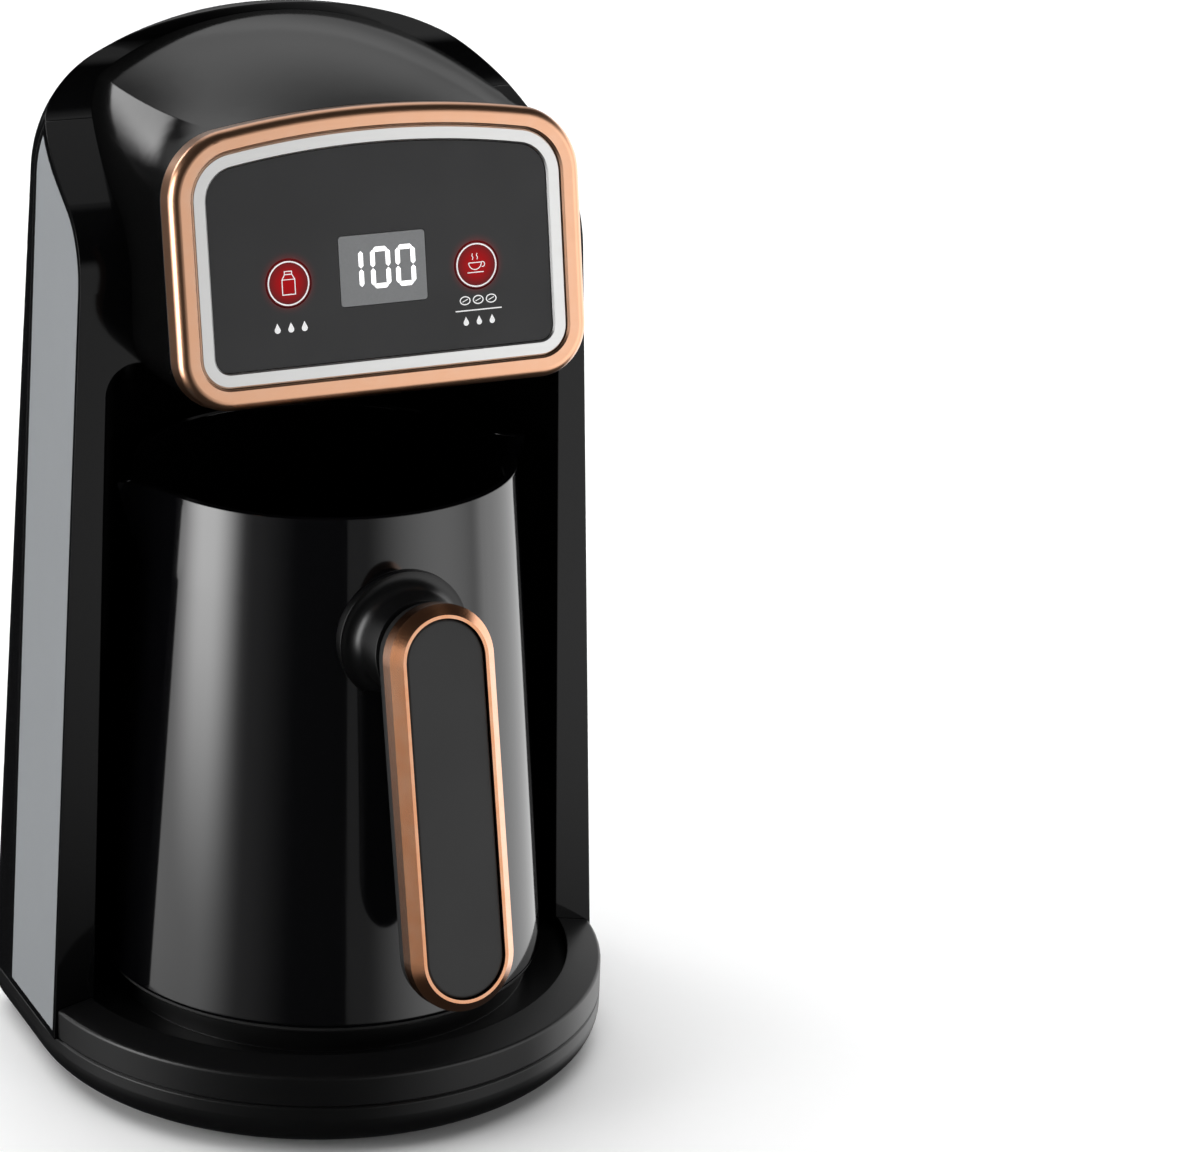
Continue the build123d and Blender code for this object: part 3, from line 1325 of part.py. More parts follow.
def handle_neck():
    """Round neck between the pot's wall and the grip, flared at the wall."""
    wall = pot_radius(NECK_HEIGHT)
    end = neck_seat() + HANDLE_DEPTH / 2
    foot = NECK_RADIUS + NECK_FLARE
    waist = wall + NECK_FLARE
    bend = NECK_FLARE * (1 - sqrt(0.5))
    profile = face_from(
        [
            ((0, wall - NECK_FLARE), None),
            ((foot, wall - NECK_FLARE), None),
            ((foot, wall), (NECK_RADIUS + bend, wall + bend)),
            ((NECK_RADIUS, waist), None),
            ((NECK_RADIUS, end), None),
            ((0, end), None),
        ]
    )
    neck = neck_axis() * revolve(Plane.XZ * profile, Axis.Z)
    neck -= wall_cone(2 * SCREW_GAP)
    behind = HANDLE.offset(-HANDLE_DEPTH - SCREW_GAP)
    neck = split(neck, bisect_by=behind, keep=Keep.BOTTOM)
    return neck - neck_axis() * rod(BOLT_RADIUS + FIT_GAP, 0, HANDLE_FRONT)


def all_parts():
    """Every piece by its node name."""
    column, cover = column_parts()
    return {
        "base_pan": base_pan(),
        "rubber_feet": rubber_feet(),
        "base_screws": base_screws(),
        "base_deck": base_deck(),
        "power_board": power_board(),
        "power_board_screws": power_board_screws(),
        "power_relay": power_relay(),
        "transformer": transformer(),
        "smoothing_capacitor": smoothing_capacitor(),
        "terminal_block": terminal_block(),
        "column_shell": column,
        "back_cover": cover,
        "back_screws": back_screws(),
        "side_panel_left": panel_skin(-1, 0, PANEL_SKIN),
        "side_panel_right": panel_skin(1, 0, PANEL_SKIN),
        "cord_gland": cord_gland(),
        "dock_socket": dock_socket(),
        "dock_contacts": dock_contacts(),
        "wiring_loom": wiring_loom(),
        "head_shell": head_shell(),
        "head_screws": head_screws(),
        "head_floor": head_floor(),
        "sensor_window": sensor_window(),
        "sensor_module": sensor_module(),
        "bezel_frame": bezel_frame(),
        "trim_ring": trim_ring(),
        "front_panel": front_panel(),
        "panel_carrier": panel_carrier(),
        "display_window": display_window(),
        "display_module": display_module(),
        "control_board": control_board(),
        "control_board_screws": control_board_screws(),
        "board_connector": board_connector(),
        "key_switches": key_switches(),
        "light_guides": light_guides(),
        "buzzer": buzzer(),
        "key_left": key_cap(-1),
        "plunger_left": key_plunger(-1),
        "key_right": key_cap(1),
        "plunger_right": key_plunger(1),
        "pot_vessel": pot_vessel(),
        "heater_plate": heater_plate(),
        "plate_seal": plate_seal(),
        "heating_element": heating_element(),
        "thermal_cutout": thermal_cutout(),
        "temperature_probe": temperature_probe(),
        "pot_base": pot_base(),
        "pot_base_screws": pot_base_screws(),
        "pot_plug": pot_plug(),
        "plug_pins": plug_pins(),
        "handle_neck": handle_neck(),
        "handle_core": handle_core(),
        "handle_frame": handle_frame(),
        "handle_inlay": handle_inlay(),
        "handle_bolt": handle_bolt(),
    }


parts = all_parts()
low = min(shape.bounding_box().min.Y for shape in parts.values())
high = max(shape.bounding_box().max.Y for shape in parts.values())
middle = (low + high) / 2
os.makedirs("parts", exist_ok=True)
for name, shape in parts.items():
    export_step(Pos(0, -middle, 0) * shape, f"parts/{name}.step")
print("pot axis at y", -middle)
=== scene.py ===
import json
from math import cos, pi, radians, sin

import bmesh
import bpy
from mathutils import Matrix, Vector

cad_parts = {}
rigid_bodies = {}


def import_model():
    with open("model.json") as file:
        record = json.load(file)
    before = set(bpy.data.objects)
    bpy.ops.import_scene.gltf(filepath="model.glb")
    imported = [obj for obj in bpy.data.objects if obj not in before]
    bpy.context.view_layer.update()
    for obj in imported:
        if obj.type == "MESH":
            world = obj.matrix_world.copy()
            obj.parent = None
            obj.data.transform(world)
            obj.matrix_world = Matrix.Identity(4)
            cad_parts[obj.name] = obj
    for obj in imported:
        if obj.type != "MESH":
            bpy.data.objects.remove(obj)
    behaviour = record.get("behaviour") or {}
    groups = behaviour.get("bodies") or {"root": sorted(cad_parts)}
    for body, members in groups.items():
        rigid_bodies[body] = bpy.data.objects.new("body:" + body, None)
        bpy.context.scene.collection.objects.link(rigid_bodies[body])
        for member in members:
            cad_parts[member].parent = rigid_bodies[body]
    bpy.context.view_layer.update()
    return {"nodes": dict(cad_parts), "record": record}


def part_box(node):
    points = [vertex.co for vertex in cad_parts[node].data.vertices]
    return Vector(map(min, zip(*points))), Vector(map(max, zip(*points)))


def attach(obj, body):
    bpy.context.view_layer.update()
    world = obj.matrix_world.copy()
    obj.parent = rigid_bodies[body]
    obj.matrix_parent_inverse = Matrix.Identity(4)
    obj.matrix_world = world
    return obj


for left_over in list(bpy.data.objects):
    bpy.data.objects.remove(left_over)
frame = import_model()
nodes = frame["nodes"]
scene = bpy.context.scene
scene.view_settings.view_transform = "Standard"

MM = 0.001
POT_AXIS_Y = sum(corner.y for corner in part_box("pot_vessel")) / 2

# Control panel plane, in the row frame
PANEL_TILT = radians(10.2)
PANEL_REACH = 34.0 * MM
PANEL_HEIGHT = 217.3 * MM
PANEL_MIDDLE = Vector((0, POT_AXIS_Y - PANEL_REACH, PANEL_HEIGHT))
PANEL_UP = Vector((0, sin(PANEL_TILT), cos(PANEL_TILT)))
PANEL_OUT = Vector((0, -cos(PANEL_TILT), sin(PANEL_TILT)))

# Middles of the keys and the display on the panel, in millimetres
KEY_X = 24.0
KEY_Y = -5.4
DISPLAY_Y = -4.0

# Camera fitted to the photograph; picture size, focal length and centre of view are in its pixels
PICTURE_WIDE, PICTURE_TALL = 1200, 1152
FOCAL_LENGTH = 3677.9
VIEW_X, VIEW_Y = 324.23, 558.21
VIEW_TURN = radians(22.8)
VIEW_DROP = radians(19.43)
VIEW_ROLL = radians(0.638)
CAMERA_AIM = Vector((0, POT_AXIS_Y, 0.130))
CAMERA_AWAY = 0.9187
SENSOR_WIDE = 36.0

# Floor and room
FLOOR_RADIUS = 6.0
FLOOR_SIDES = 64
ROOM_COLOUR = (0.95, 0.97, 1.0, 1.0)
ROOM_LIGHT = 0.02

# Power per area, in watts per square metre, of an area lamp that shows a radiance of 1
LAMP_POWER = 4

# Upright soft boxes: azimuth in degrees from the front to the right; distance, low edge, high edge and
# width in metres; radiance; the shares of width and height over which the light fades at each edge
SIDE_BOXES = {
    "left_strip": (-92, 1.2, -0.35, 0.95, 1.10, 3.6, (0.45, 0.2)),
    "left_wall": (-106, 1.7, -0.90, 1.20, 3.2, 0.9, (0.35, 0.2)),
    "left_fill": (-68, 1.5, -0.80, 1.00, 1.9, 0.15, (0.5, 0.2)),
    "right_wall": (36, 1.5, -0.85, 1.00, 3.1, 0.12, (0.01, 0.15)),
    "right_lamp": (45, 1.3, -0.80, 0.95, 2.6, 0.98, (0.5, 0.25)),
    "right_side": (108, 1.4, -1.00, 0.90, 2.2, 1.1, (0.25, 0.2)),
    "back_left": (-150, 1.6, 0.38, 1.62, 0.80, 2.3, (0.25, 0.3)),
    "back_wall": (158, 2.2, 0.15, 1.30, 3.6, 0.13, (0.1, 0.15)),
}

# Sloped soft box behind the head, which its top shows, and the lamp over the floor
HEAD_MIDDLE = Vector((0, POT_AXIS_Y, 0.24))
SLOPE_TURN, SLOPE_RISE, SLOPE_AWAY = radians(159), radians(46), 2.2
SLOPE_WIDE, SLOPE_TALL, SLOPE_LIGHT, SLOPE_FADE = 2.6, 3.6, 0.62, (0.3, 0.5)
CEILING_X, CEILING_Y, CEILING_HEIGHT = 0.1, 0.7, 2.4
CEILING_WIDE, CEILING_LIGHT, CEILING_FADE = 4.2, 1.75, (0.15, 0.15)

# Values that finishes share; clouds and grain are the scales of noise over metres
EDGE_SOFTNESS = 0.4 * MM
EDGE_SAMPLES = 6
DUST_COLOUR = (0.10, 0.10, 0.10)
SATIN_CLOUDS = 45.0
GRAIN_STRENGTH = 0.25
TONE_LOW, TONE_HIGH = 0.92, 1.08
LINE_STRENGTH, LINE_DEPTH = 0.05, 0.01 * MM
# Pointiness up to which outer metal edges are painted paler, for rubbed wear and a painted edge highlight
WEAR_AND_SHEEN_REACH = 0.62
LACQUER_ROUGH = 0.14
GLASS_CLOUDS, GLASS_HAZE = 60.0, 0.08
KEY_DARK = (0.0, 0.0, 0.0)
KEY_LIGHT = (0.36, 0.003, 0.005)
KEY_SHADE = (0.001, 0.0, 0.0)
LIT_ROUGH, LIT_GRAIN = 0.4, 1500.0
FLOOR_COLOUR = (0.975, 0.975, 0.975)
FLOOR_DARK, FLOOR_PALE = (0.97, 0.97, 0.97), (0.98, 0.98, 0.98)
FLOOR_ROUGH, FLOOR_SHINE, FLOOR_GRAIN = 0.9, 0.1, 200.0

# Least divisor for the reach of a mitred corner
MITRE_LIMIT = 0.4

# Signs: height over the panel, depth below its face, sizes and widths of lines, in millimetres
SIGN_PROUD = 0.05
SIGN_SUNK = 0.02
DIGITS_X = (-7.5, -0.6, 5.8)
DIGITS_Y = DISPLAY_Y + 0.3
DIGIT_WIDE, DIGIT_TALL, DIGIT_BAR, DIGIT_GAP = 3.9, 8.6, 1.15, 0.12
RING_RADIUS = 5.05
RING_LINE = 0.34
LINE = 0.22
THIN_LINE = 0.2
STEAM_LINE = 0.18
MARK_LINE = 0.28
BEAN_LINE = 0.26
MARK_STEPS = (-3.4, 0, 3.4)
LEFT_DROPS_Y, LEFT_DROP = -15.8, 1.2
RIGHT_DROPS_Y, RIGHT_DROP = -18.6, 1.1
MARK_LINE_Y, MARK_LINE_HALF = -16.0, 6.0
BEANS_Y, BEAN_RADIUS, BEAN_STRETCH = -13.6, 0.95, 1.35


# Camera at the photograph's viewing angle


def place_camera():
    """Long lens, a little above the panel and to the left of the front."""
    ahead = Vector((sin(VIEW_TURN) * cos(VIEW_DROP), cos(VIEW_TURN) * cos(VIEW_DROP), -sin(VIEW_DROP)))
    right = Vector((cos(VIEW_TURN), -sin(VIEW_TURN), 0))
    up = right.cross(ahead)
    level_right = right * cos(VIEW_ROLL) + up * sin(VIEW_ROLL)
    level_up = up * cos(VIEW_ROLL) - right * sin(VIEW_ROLL)
    data = bpy.data.cameras.new("photo_view")
    data.sensor_fit = "HORIZONTAL"
    data.sensor_width = SENSOR_WIDE
    data.lens = FOCAL_LENGTH / PICTURE_WIDE * SENSOR_WIDE
    data.shift_x = (PICTURE_WIDE / 2 - VIEW_X) / PICTURE_WIDE
    data.shift_y = (VIEW_Y - PICTURE_TALL / 2) / PICTURE_WIDE
    data.clip_start = 0.01
    camera = bpy.data.objects.new("photo_view", data)
    turn = Matrix((level_right, level_up, -ahead)).transposed()
    camera.matrix_world = Matrix.Translation(CAMERA_AIM - CAMERA_AWAY * ahead) @ turn.to_4x4()
    scene.collection.objects.link(camera)
    scene.camera = camera


# Shader helpers


def feed(tree, value, socket):
    """Gives a socket a number, or links another socket to it."""
    if isinstance(value, (int, float)):
        socket.default_value = value
    else:
        tree.links.new(value, socket)


def maths(tree, operation, first, second, clamp=False):
    """Math node fed by sockets or numbers; returns its result."""
    node = tree.nodes.new("ShaderNodeMath")
    node.operation = operation
    node.use_clamp = clamp
    feed(tree, first, node.inputs[0])
    feed(tree, second, node.inputs[1])
    return node.outputs[0]


def spread(tree, value, low, high, to_low, to_high, easing="LINEAR"):
    """Map Range node fed by sockets or numbers; returns its result."""
    node = tree.nodes.new("ShaderNodeMapRange")
    node.interpolation_type = easing
    tree.links.new(value, node.inputs["Value"])
    for label, end in (("From Min", low), ("From Max", high), ("To Min", to_low), ("To Max", to_high)):
        feed(tree, end, node.inputs[label])
    return node.outputs[0]


def blend(tree, mask, first, second):
    """Colour between two colours by a mask."""
    mix = tree.nodes.new("ShaderNodeMix")
    mix.data_type = "RGBA"
    mix.inputs["A"].default_value = (*first, 1.0)
    mix.inputs["B"].default_value = (*second, 1.0)
    tree.links.new(mask, mix.inputs["Factor"])
    return mix.outputs["Result"]


# Studio


def soft_box(name, place, aim, wide, tall, radiance, fade):
    """Rectangular soft box whose light falls off towards its edges."""
    lamp = bpy.data.lights.new(name, "AREA")
    lamp.shape = "RECTANGLE"
    lamp.size = wide
    lamp.size_y = tall
    lamp.energy = radiance * LAMP_POWER * wide * tall
    lamp.use_nodes = True
    tree = lamp.node_tree
    spot = tree.nodes.new("ShaderNodeNewGeometry")
    split = tree.nodes.new("ShaderNodeSeparateXYZ")
    tree.links.new(spot.outputs["Parametric"], split.inputs[0])
    faded = []
    for axis, width in zip("XY", fade):
        from_edge = maths(tree, "PINGPONG", split.outputs[axis], 0.5)
        faded.append(spread(tree, from_edge, 0.0, width, 0.0, 1.0, "SMOOTHSTEP"))
    tree.links.new(maths(tree, "MULTIPLY", *faded), tree.nodes["Emission"].inputs["Strength"])
    box = bpy.data.objects.new(name, lamp)
    box.location = place
    box.rotation_euler = (Vector(aim) - Vector(place)).to_track_quat("-Z", "Y").to_euler()
    box.visible_camera = False
    scene.collection.objects.link(box)
    return box


def side_box(name, azimuth, away, low, high, wide, radiance, fade):
    """Upright soft box that faces the object."""
    turn = radians(azimuth)
    height = (low + high) / 2
    place = (away * sin(turn), POT_AXIS_Y - away * cos(turn), height)
    soft_box(name, place, (0, POT_AXIS_Y, height), wide, high - low, radiance, fade)


def studio():
    """Pale floor, dim room and the soft boxes that the gloss surfaces show."""
    mesh = bpy.data.meshes.new("floor")
    turns = [2 * pi * i / FLOOR_SIDES for i in range(FLOOR_SIDES)]
    rim = [(FLOOR_RADIUS * cos(turn), FLOOR_RADIUS * sin(turn), 0) for turn in turns]
    mesh.from_pydata(rim, [], [list(range(FLOOR_SIDES))])
    floor = bpy.data.objects.new("floor", mesh)
    mesh.materials.append(floor_finish())
    scene.collection.objects.link(floor)
    floor.visible_glossy = False
    world = bpy.data.worlds.new("dim_room")
    world.use_nodes = True
    room = world.node_tree.nodes["Background"]
    room.inputs["Color"].default_value = ROOM_COLOUR
    room.inputs["Strength"].default_value = ROOM_LIGHT
    scene.world = world
    for name, numbers in SIDE_BOXES.items():
        side_box(name, *numbers)
    level = cos(SLOPE_RISE)
    slope = Vector((sin(SLOPE_TURN) * level, -cos(SLOPE_TURN) * level, sin(SLOPE_RISE)))
    place = HEAD_MIDDLE + SLOPE_AWAY * slope
    soft_box("back_slope", place, HEAD_MIDDLE, SLOPE_WIDE, SLOPE_TALL, SLOPE_LIGHT, SLOPE_FADE)
    place = (CEILING_X, CEILING_Y, CEILING_HEIGHT)
    below = (CEILING_X, CEILING_Y, 0)
    ceiling = soft_box("overhead", place, below, CEILING_WIDE, CEILING_WIDE, CEILING_LIGHT, CEILING_FADE)
    ceiling.visible_glossy = False


# Shared surface effects


def effect(name, inputs, outputs):
    """Empty shader node group with number sockets; returns the group, its input and output nodes."""
    group = bpy.data.node_groups.new(name, "ShaderNodeTree")
    for label, value in inputs.items():
        socket = group.interface.new_socket(label, in_out="INPUT", socket_type="NodeSocketFloat")
        socket.default_value = value
    for label in outputs:
        group.interface.new_socket(label, in_out="OUTPUT", socket_type="NodeSocketFloat")
    return group, group.nodes.new("NodeGroupInput"), group.nodes.new("NodeGroupOutput")


def surface_noise(tree, scale, detail, stretch=None):
    """Noise over the piece's own place, in metres; scale is a number or a socket."""
    spot = tree.nodes.new("ShaderNodeTexCoord")
    noise = tree.nodes.new("ShaderNodeTexNoise")
    noise.inputs["Detail"].default_value = detail
    place = spot.outputs["Object"]
    if stretch is not None:
        mapping = tree.nodes.new("ShaderNodeMapping")
        mapping.inputs["Scale"].default_value = stretch
        tree.links.new(place, mapping.inputs["Vector"])
        place = mapping.outputs[0]
    tree.links.new(place, noise.inputs["Vector"])
    feed(tree, scale, noise.inputs["Scale"])
    return noise.outputs[0]


def polish_haze_effect():
    """Polish that varies softly over a surface, with faint wiping marks."""
    sockets = {"Polished": 0.05, "Hazed": 0.1, "Scale": 30.0}
    group, given, made = effect("polish_haze", sockets, ["Roughness"])
    cloud = surface_noise(group, given.outputs["Scale"], 3.0)
    wipes = surface_noise(group, 140.0, 4.0, (1.0, 1.0, 0.12))
    both = maths(group, "ADD", maths(group, "MULTIPLY", cloud, 0.7), maths(group, "MULTIPLY", wipes, 0.3))
    rough = spread(group, both, 0.35, 0.65, given.outputs["Polished"], given.outputs["Hazed"])
    group.links.new(rough, made.inputs["Roughness"])
    return group


def moulded_grain_effect():
    """Fine sand-like grain of a moulded or painted surface."""
    group, given, made = effect("moulded_grain", {"Scale": 3000.0}, ["Height"])
    grain = surface_noise(group, given.outputs["Scale"], 2.0)
    group.links.new(grain, made.inputs["Height"])
    return group


def brushed_lines_effect():
    """Long fine lines of a brushed metal face."""
    sockets = {"Polished": 0.2, "Hazed": 0.35}
    group, given, made = effect("brushed_lines", sockets, ["Height", "Roughness"])
    lines = surface_noise(group, 90.0, 5.0, (1.0, 40.0, 40.0))
    group.links.new(lines, made.inputs["Height"])
    rough = spread(group, lines, 0.3, 0.7, given.outputs["Polished"], given.outputs["Hazed"])
    group.links.new(rough, made.inputs["Roughness"])
    return group


def edge_wear_and_sheen_effect():
    """Mask of the outer edges, where handling rubs the finish and where a paler colour is painted as an edge
    highlight.
    """
    group, given, made = effect("edge_wear_and_sheen", {"Reach": 0.56}, ["Mask"])
    spot = group.nodes.new("ShaderNodeNewGeometry")
    patches = surface_noise(group, 260.0, 3.0)
    edge = spread(group, spot.outputs["Pointiness"], 0.505, given.outputs["Reach"], 0.0, 1.0)
    mask = maths(group, "MULTIPLY", edge, spread(group, patches, 0.35, 0.65, 0.2, 1.0), True)
    group.links.new(mask, made.inputs["Mask"])
    return group


def settled_dust_effect():
    """Faint dust on faces that look up."""
    group, given, made = effect("settled_dust", {"Amount": 0.1}, ["Mask"])
    spot = group.nodes.new("ShaderNodeNewGeometry")
    split = group.nodes.new("ShaderNodeSeparateXYZ")
    group.links.new(spot.outputs["Normal"], split.inputs[0])
    facing = spread(group, split.outputs["Z"], 0.2, 1.0, 0.0, 1.0)
    specks = spread(group, surface_noise(group, 900.0, 3.0), 0.45, 0.75, 0.25, 1.0)
    mask = maths(group, "MULTIPLY", maths(group, "MULTIPLY", facing, specks), given.outputs["Amount"], True)
    group.links.new(mask, made.inputs["Mask"])
    return group


def key_glow_effect():
    """Red light that spreads round the middle of a key; the keys lie left and right of the panel's middle."""
    group, given, made = effect("key_glow", {"Core": 0.3 * MM, "Reach": 8.0 * MM}, ["Mask"])
    spot = group.nodes.new("ShaderNodeTexCoord")
    split = group.nodes.new("ShaderNodeSeparateXYZ")
    group.links.new(spot.outputs["Object"], split.inputs[0])
    middle = PANEL_MIDDLE + KEY_Y * MM * PANEL_UP
    aside = maths(group, "SUBTRACT", maths(group, "ABSOLUTE", split.outputs["X"], 0.0), KEY_X * MM)
    above = maths(group, "SUBTRACT", split.outputs["Z"], middle.z)
    squares = [maths(group, "MULTIPLY", way, way) for way in (aside, above)]
    away = maths(group, "SQRT", maths(group, "ADD", *squares), 0.0)
    mask = spread(group, away, given.outputs["Core"], given.outputs["Reach"], 1.0, 0.0, "SMOOTHERSTEP")
    group.links.new(mask, made.inputs["Mask"])
    return group


POLISH_HAZE = polish_haze_effect()
MOULDED_GRAIN = moulded_grain_effect()
BRUSHED_LINES = brushed_lines_effect()
EDGE_WEAR_AND_SHEEN = edge_wear_and_sheen_effect()
SETTLED_DUST = settled_dust_effect()
KEY_GLOW = key_glow_effect()


# Finishes


def finish(name, colour, rough, metal=0.0):
    """Material with a Principled shader; returns the material, its tree and its shader."""
    material = bpy.data.materials.new(name)
    material.use_nodes = True
    shader = material.node_tree.nodes["Principled BSDF"]
    shader.inputs["Base Color"].default_value = (*colour, 1.0)
    shader.inputs["Roughness"].default_value = rough
    shader.inputs["Metallic"].default_value = metal
    return material, material.node_tree, shader


def add_effect(tree, group, **values):
    """Places a shared effect in a material; keywords name its inputs."""
    node = tree.nodes.new("ShaderNodeGroup")
    node.node_tree = group
    for label, value in values.items():
        node.inputs[label].default_value = value
    return node


def tint(tree, shader, mask, first, second):
    """Base colour between two colours by a mask."""
    tree.links.new(blend(tree, mask, first, second), shader.inputs["Base Color"])


def shine_light(tree, shader, mask, first, second, strength):
    """Own light between two colours by a mask."""
    tree.links.new(blend(tree, mask, first, second), shader.inputs["Emission Color"])
    shader.inputs["Emission Strength"].default_value = strength


def soft_edges(tree, shader):
    """Small rounding of sharp edges, as moulded and pressed pieces have."""
    bevel = tree.nodes.new("ShaderNodeBevel")
    bevel.samples = EDGE_SAMPLES
    bevel.inputs["Radius"].default_value = EDGE_SOFTNESS
    tree.links.new(bevel.outputs[0], shader.inputs["Normal"])


def relief(tree, shader, height, strength, depth):
    """Bump from a height that varies over the surface."""
    bump = tree.nodes.new("ShaderNodeBump")
    bump.inputs["Strength"].default_value = strength
    bump.inputs["Distance"].default_value = depth
    tree.links.new(height, bump.inputs["Height"])
    tree.links.new(bump.outputs[0], shader.inputs["Normal"])


def gloss_finish(name, colour, polished, hazed, dust, shine=0.5):
    """Polished black moulding or coat with faint haze and dust; shine is how strongly it mirrors."""
    material, tree, shader = finish(name, colour, polished)
    shader.inputs["Specular IOR Level"].default_value = shine
    haze = add_effect(tree, POLISH_HAZE, Polished=polished, Hazed=hazed)
    tree.links.new(haze.outputs["Roughness"], shader.inputs["Roughness"])
    film = add_effect(tree, SETTLED_DUST, Amount=dust)
    tint(tree, shader, film.outputs["Mask"], colour, DUST_COLOUR)
    soft_edges(tree, shader)
    return material


def satin_finish(name, colour, polished, hazed, scale, depth):
    """Grained moulding with a satin sheen; scale and depth are those of the grain."""
    material, tree, shader = finish(name, colour, polished)
    haze = add_effect(tree, POLISH_HAZE, Polished=polished, Hazed=hazed, Scale=SATIN_CLOUDS)
    tree.links.new(haze.outputs["Roughness"], shader.inputs["Roughness"])
    grain = add_effect(tree, MOULDED_GRAIN, Scale=scale)
    relief(tree, shader, grain.outputs["Height"], GRAIN_STRENGTH, depth)
    tones = [[tone * c for c in colour] for tone in (TONE_LOW, TONE_HIGH)]
    tint(tree, shader, grain.outputs["Height"], *tones)
    return material


def plated_finish(name, colour, worn_and_sheen, polished, hazed, lacquer=0.0):
    """Metallised satin finish with fine lines, and outer edges painted paler: partly rubbed wear, partly a
    painted edge highlight.
    """
    material, tree, shader = finish(name, colour, polished, 1.0)
    lines = add_effect(tree, BRUSHED_LINES, Polished=polished, Hazed=hazed)
    tree.links.new(lines.outputs["Roughness"], shader.inputs["Roughness"])
    relief(tree, shader, lines.outputs["Height"], LINE_STRENGTH, LINE_DEPTH)
    shader.inputs["Coat Weight"].default_value = lacquer
    shader.inputs["Coat Roughness"].default_value = LACQUER_ROUGH
    wear_and_sheen = add_effect(tree, EDGE_WEAR_AND_SHEEN, Reach=WEAR_AND_SHEEN_REACH)
    # Paler outer edges: rubbed wear together with a painted edge highlight
    tint(tree, shader, wear_and_sheen.outputs["Mask"], colour, worn_and_sheen)
    return material


def panel_glass_finish(name, colour, rough, shine):
    """Dark printed glass with the red light of the keys."""
    material, tree, shader = finish(name, colour, rough)
    shader.inputs["Specular IOR Level"].default_value = shine
    haze = add_effect(tree, POLISH_HAZE, Polished=rough, Hazed=rough + GLASS_HAZE, Scale=GLASS_CLOUDS)
    tree.links.new(haze.outputs["Roughness"], shader.inputs["Roughness"])
    glow = add_effect(tree, KEY_GLOW)
    shine_light(tree, shader, glow.outputs["Mask"], KEY_DARK, KEY_LIGHT, 1.0)
    tint(tree, shader, glow.outputs["Mask"], colour, KEY_SHADE)
    return material


def lit_finish(name, colour, strength):
    """White light of digits and printed signs."""
    material, tree, shader = finish(name, colour, LIT_ROUGH)
    soft = add_effect(tree, MOULDED_GRAIN, Scale=LIT_GRAIN)
    dim = [TONE_LOW * c for c in colour]
    shine_light(tree, shader, soft.outputs["Height"], dim, colour, strength)
    return material


def floor_finish():
    """Pale matte floor."""
    material, tree, shader = finish("pale_floor", FLOOR_COLOUR, FLOOR_ROUGH)
    grain = add_effect(tree, MOULDED_GRAIN, Scale=FLOOR_GRAIN)
    tint(tree, shader, grain.outputs["Height"], FLOOR_DARK, FLOOR_PALE)
    shader.inputs["Specular IOR Level"].default_value = FLOOR_SHINE
    return material


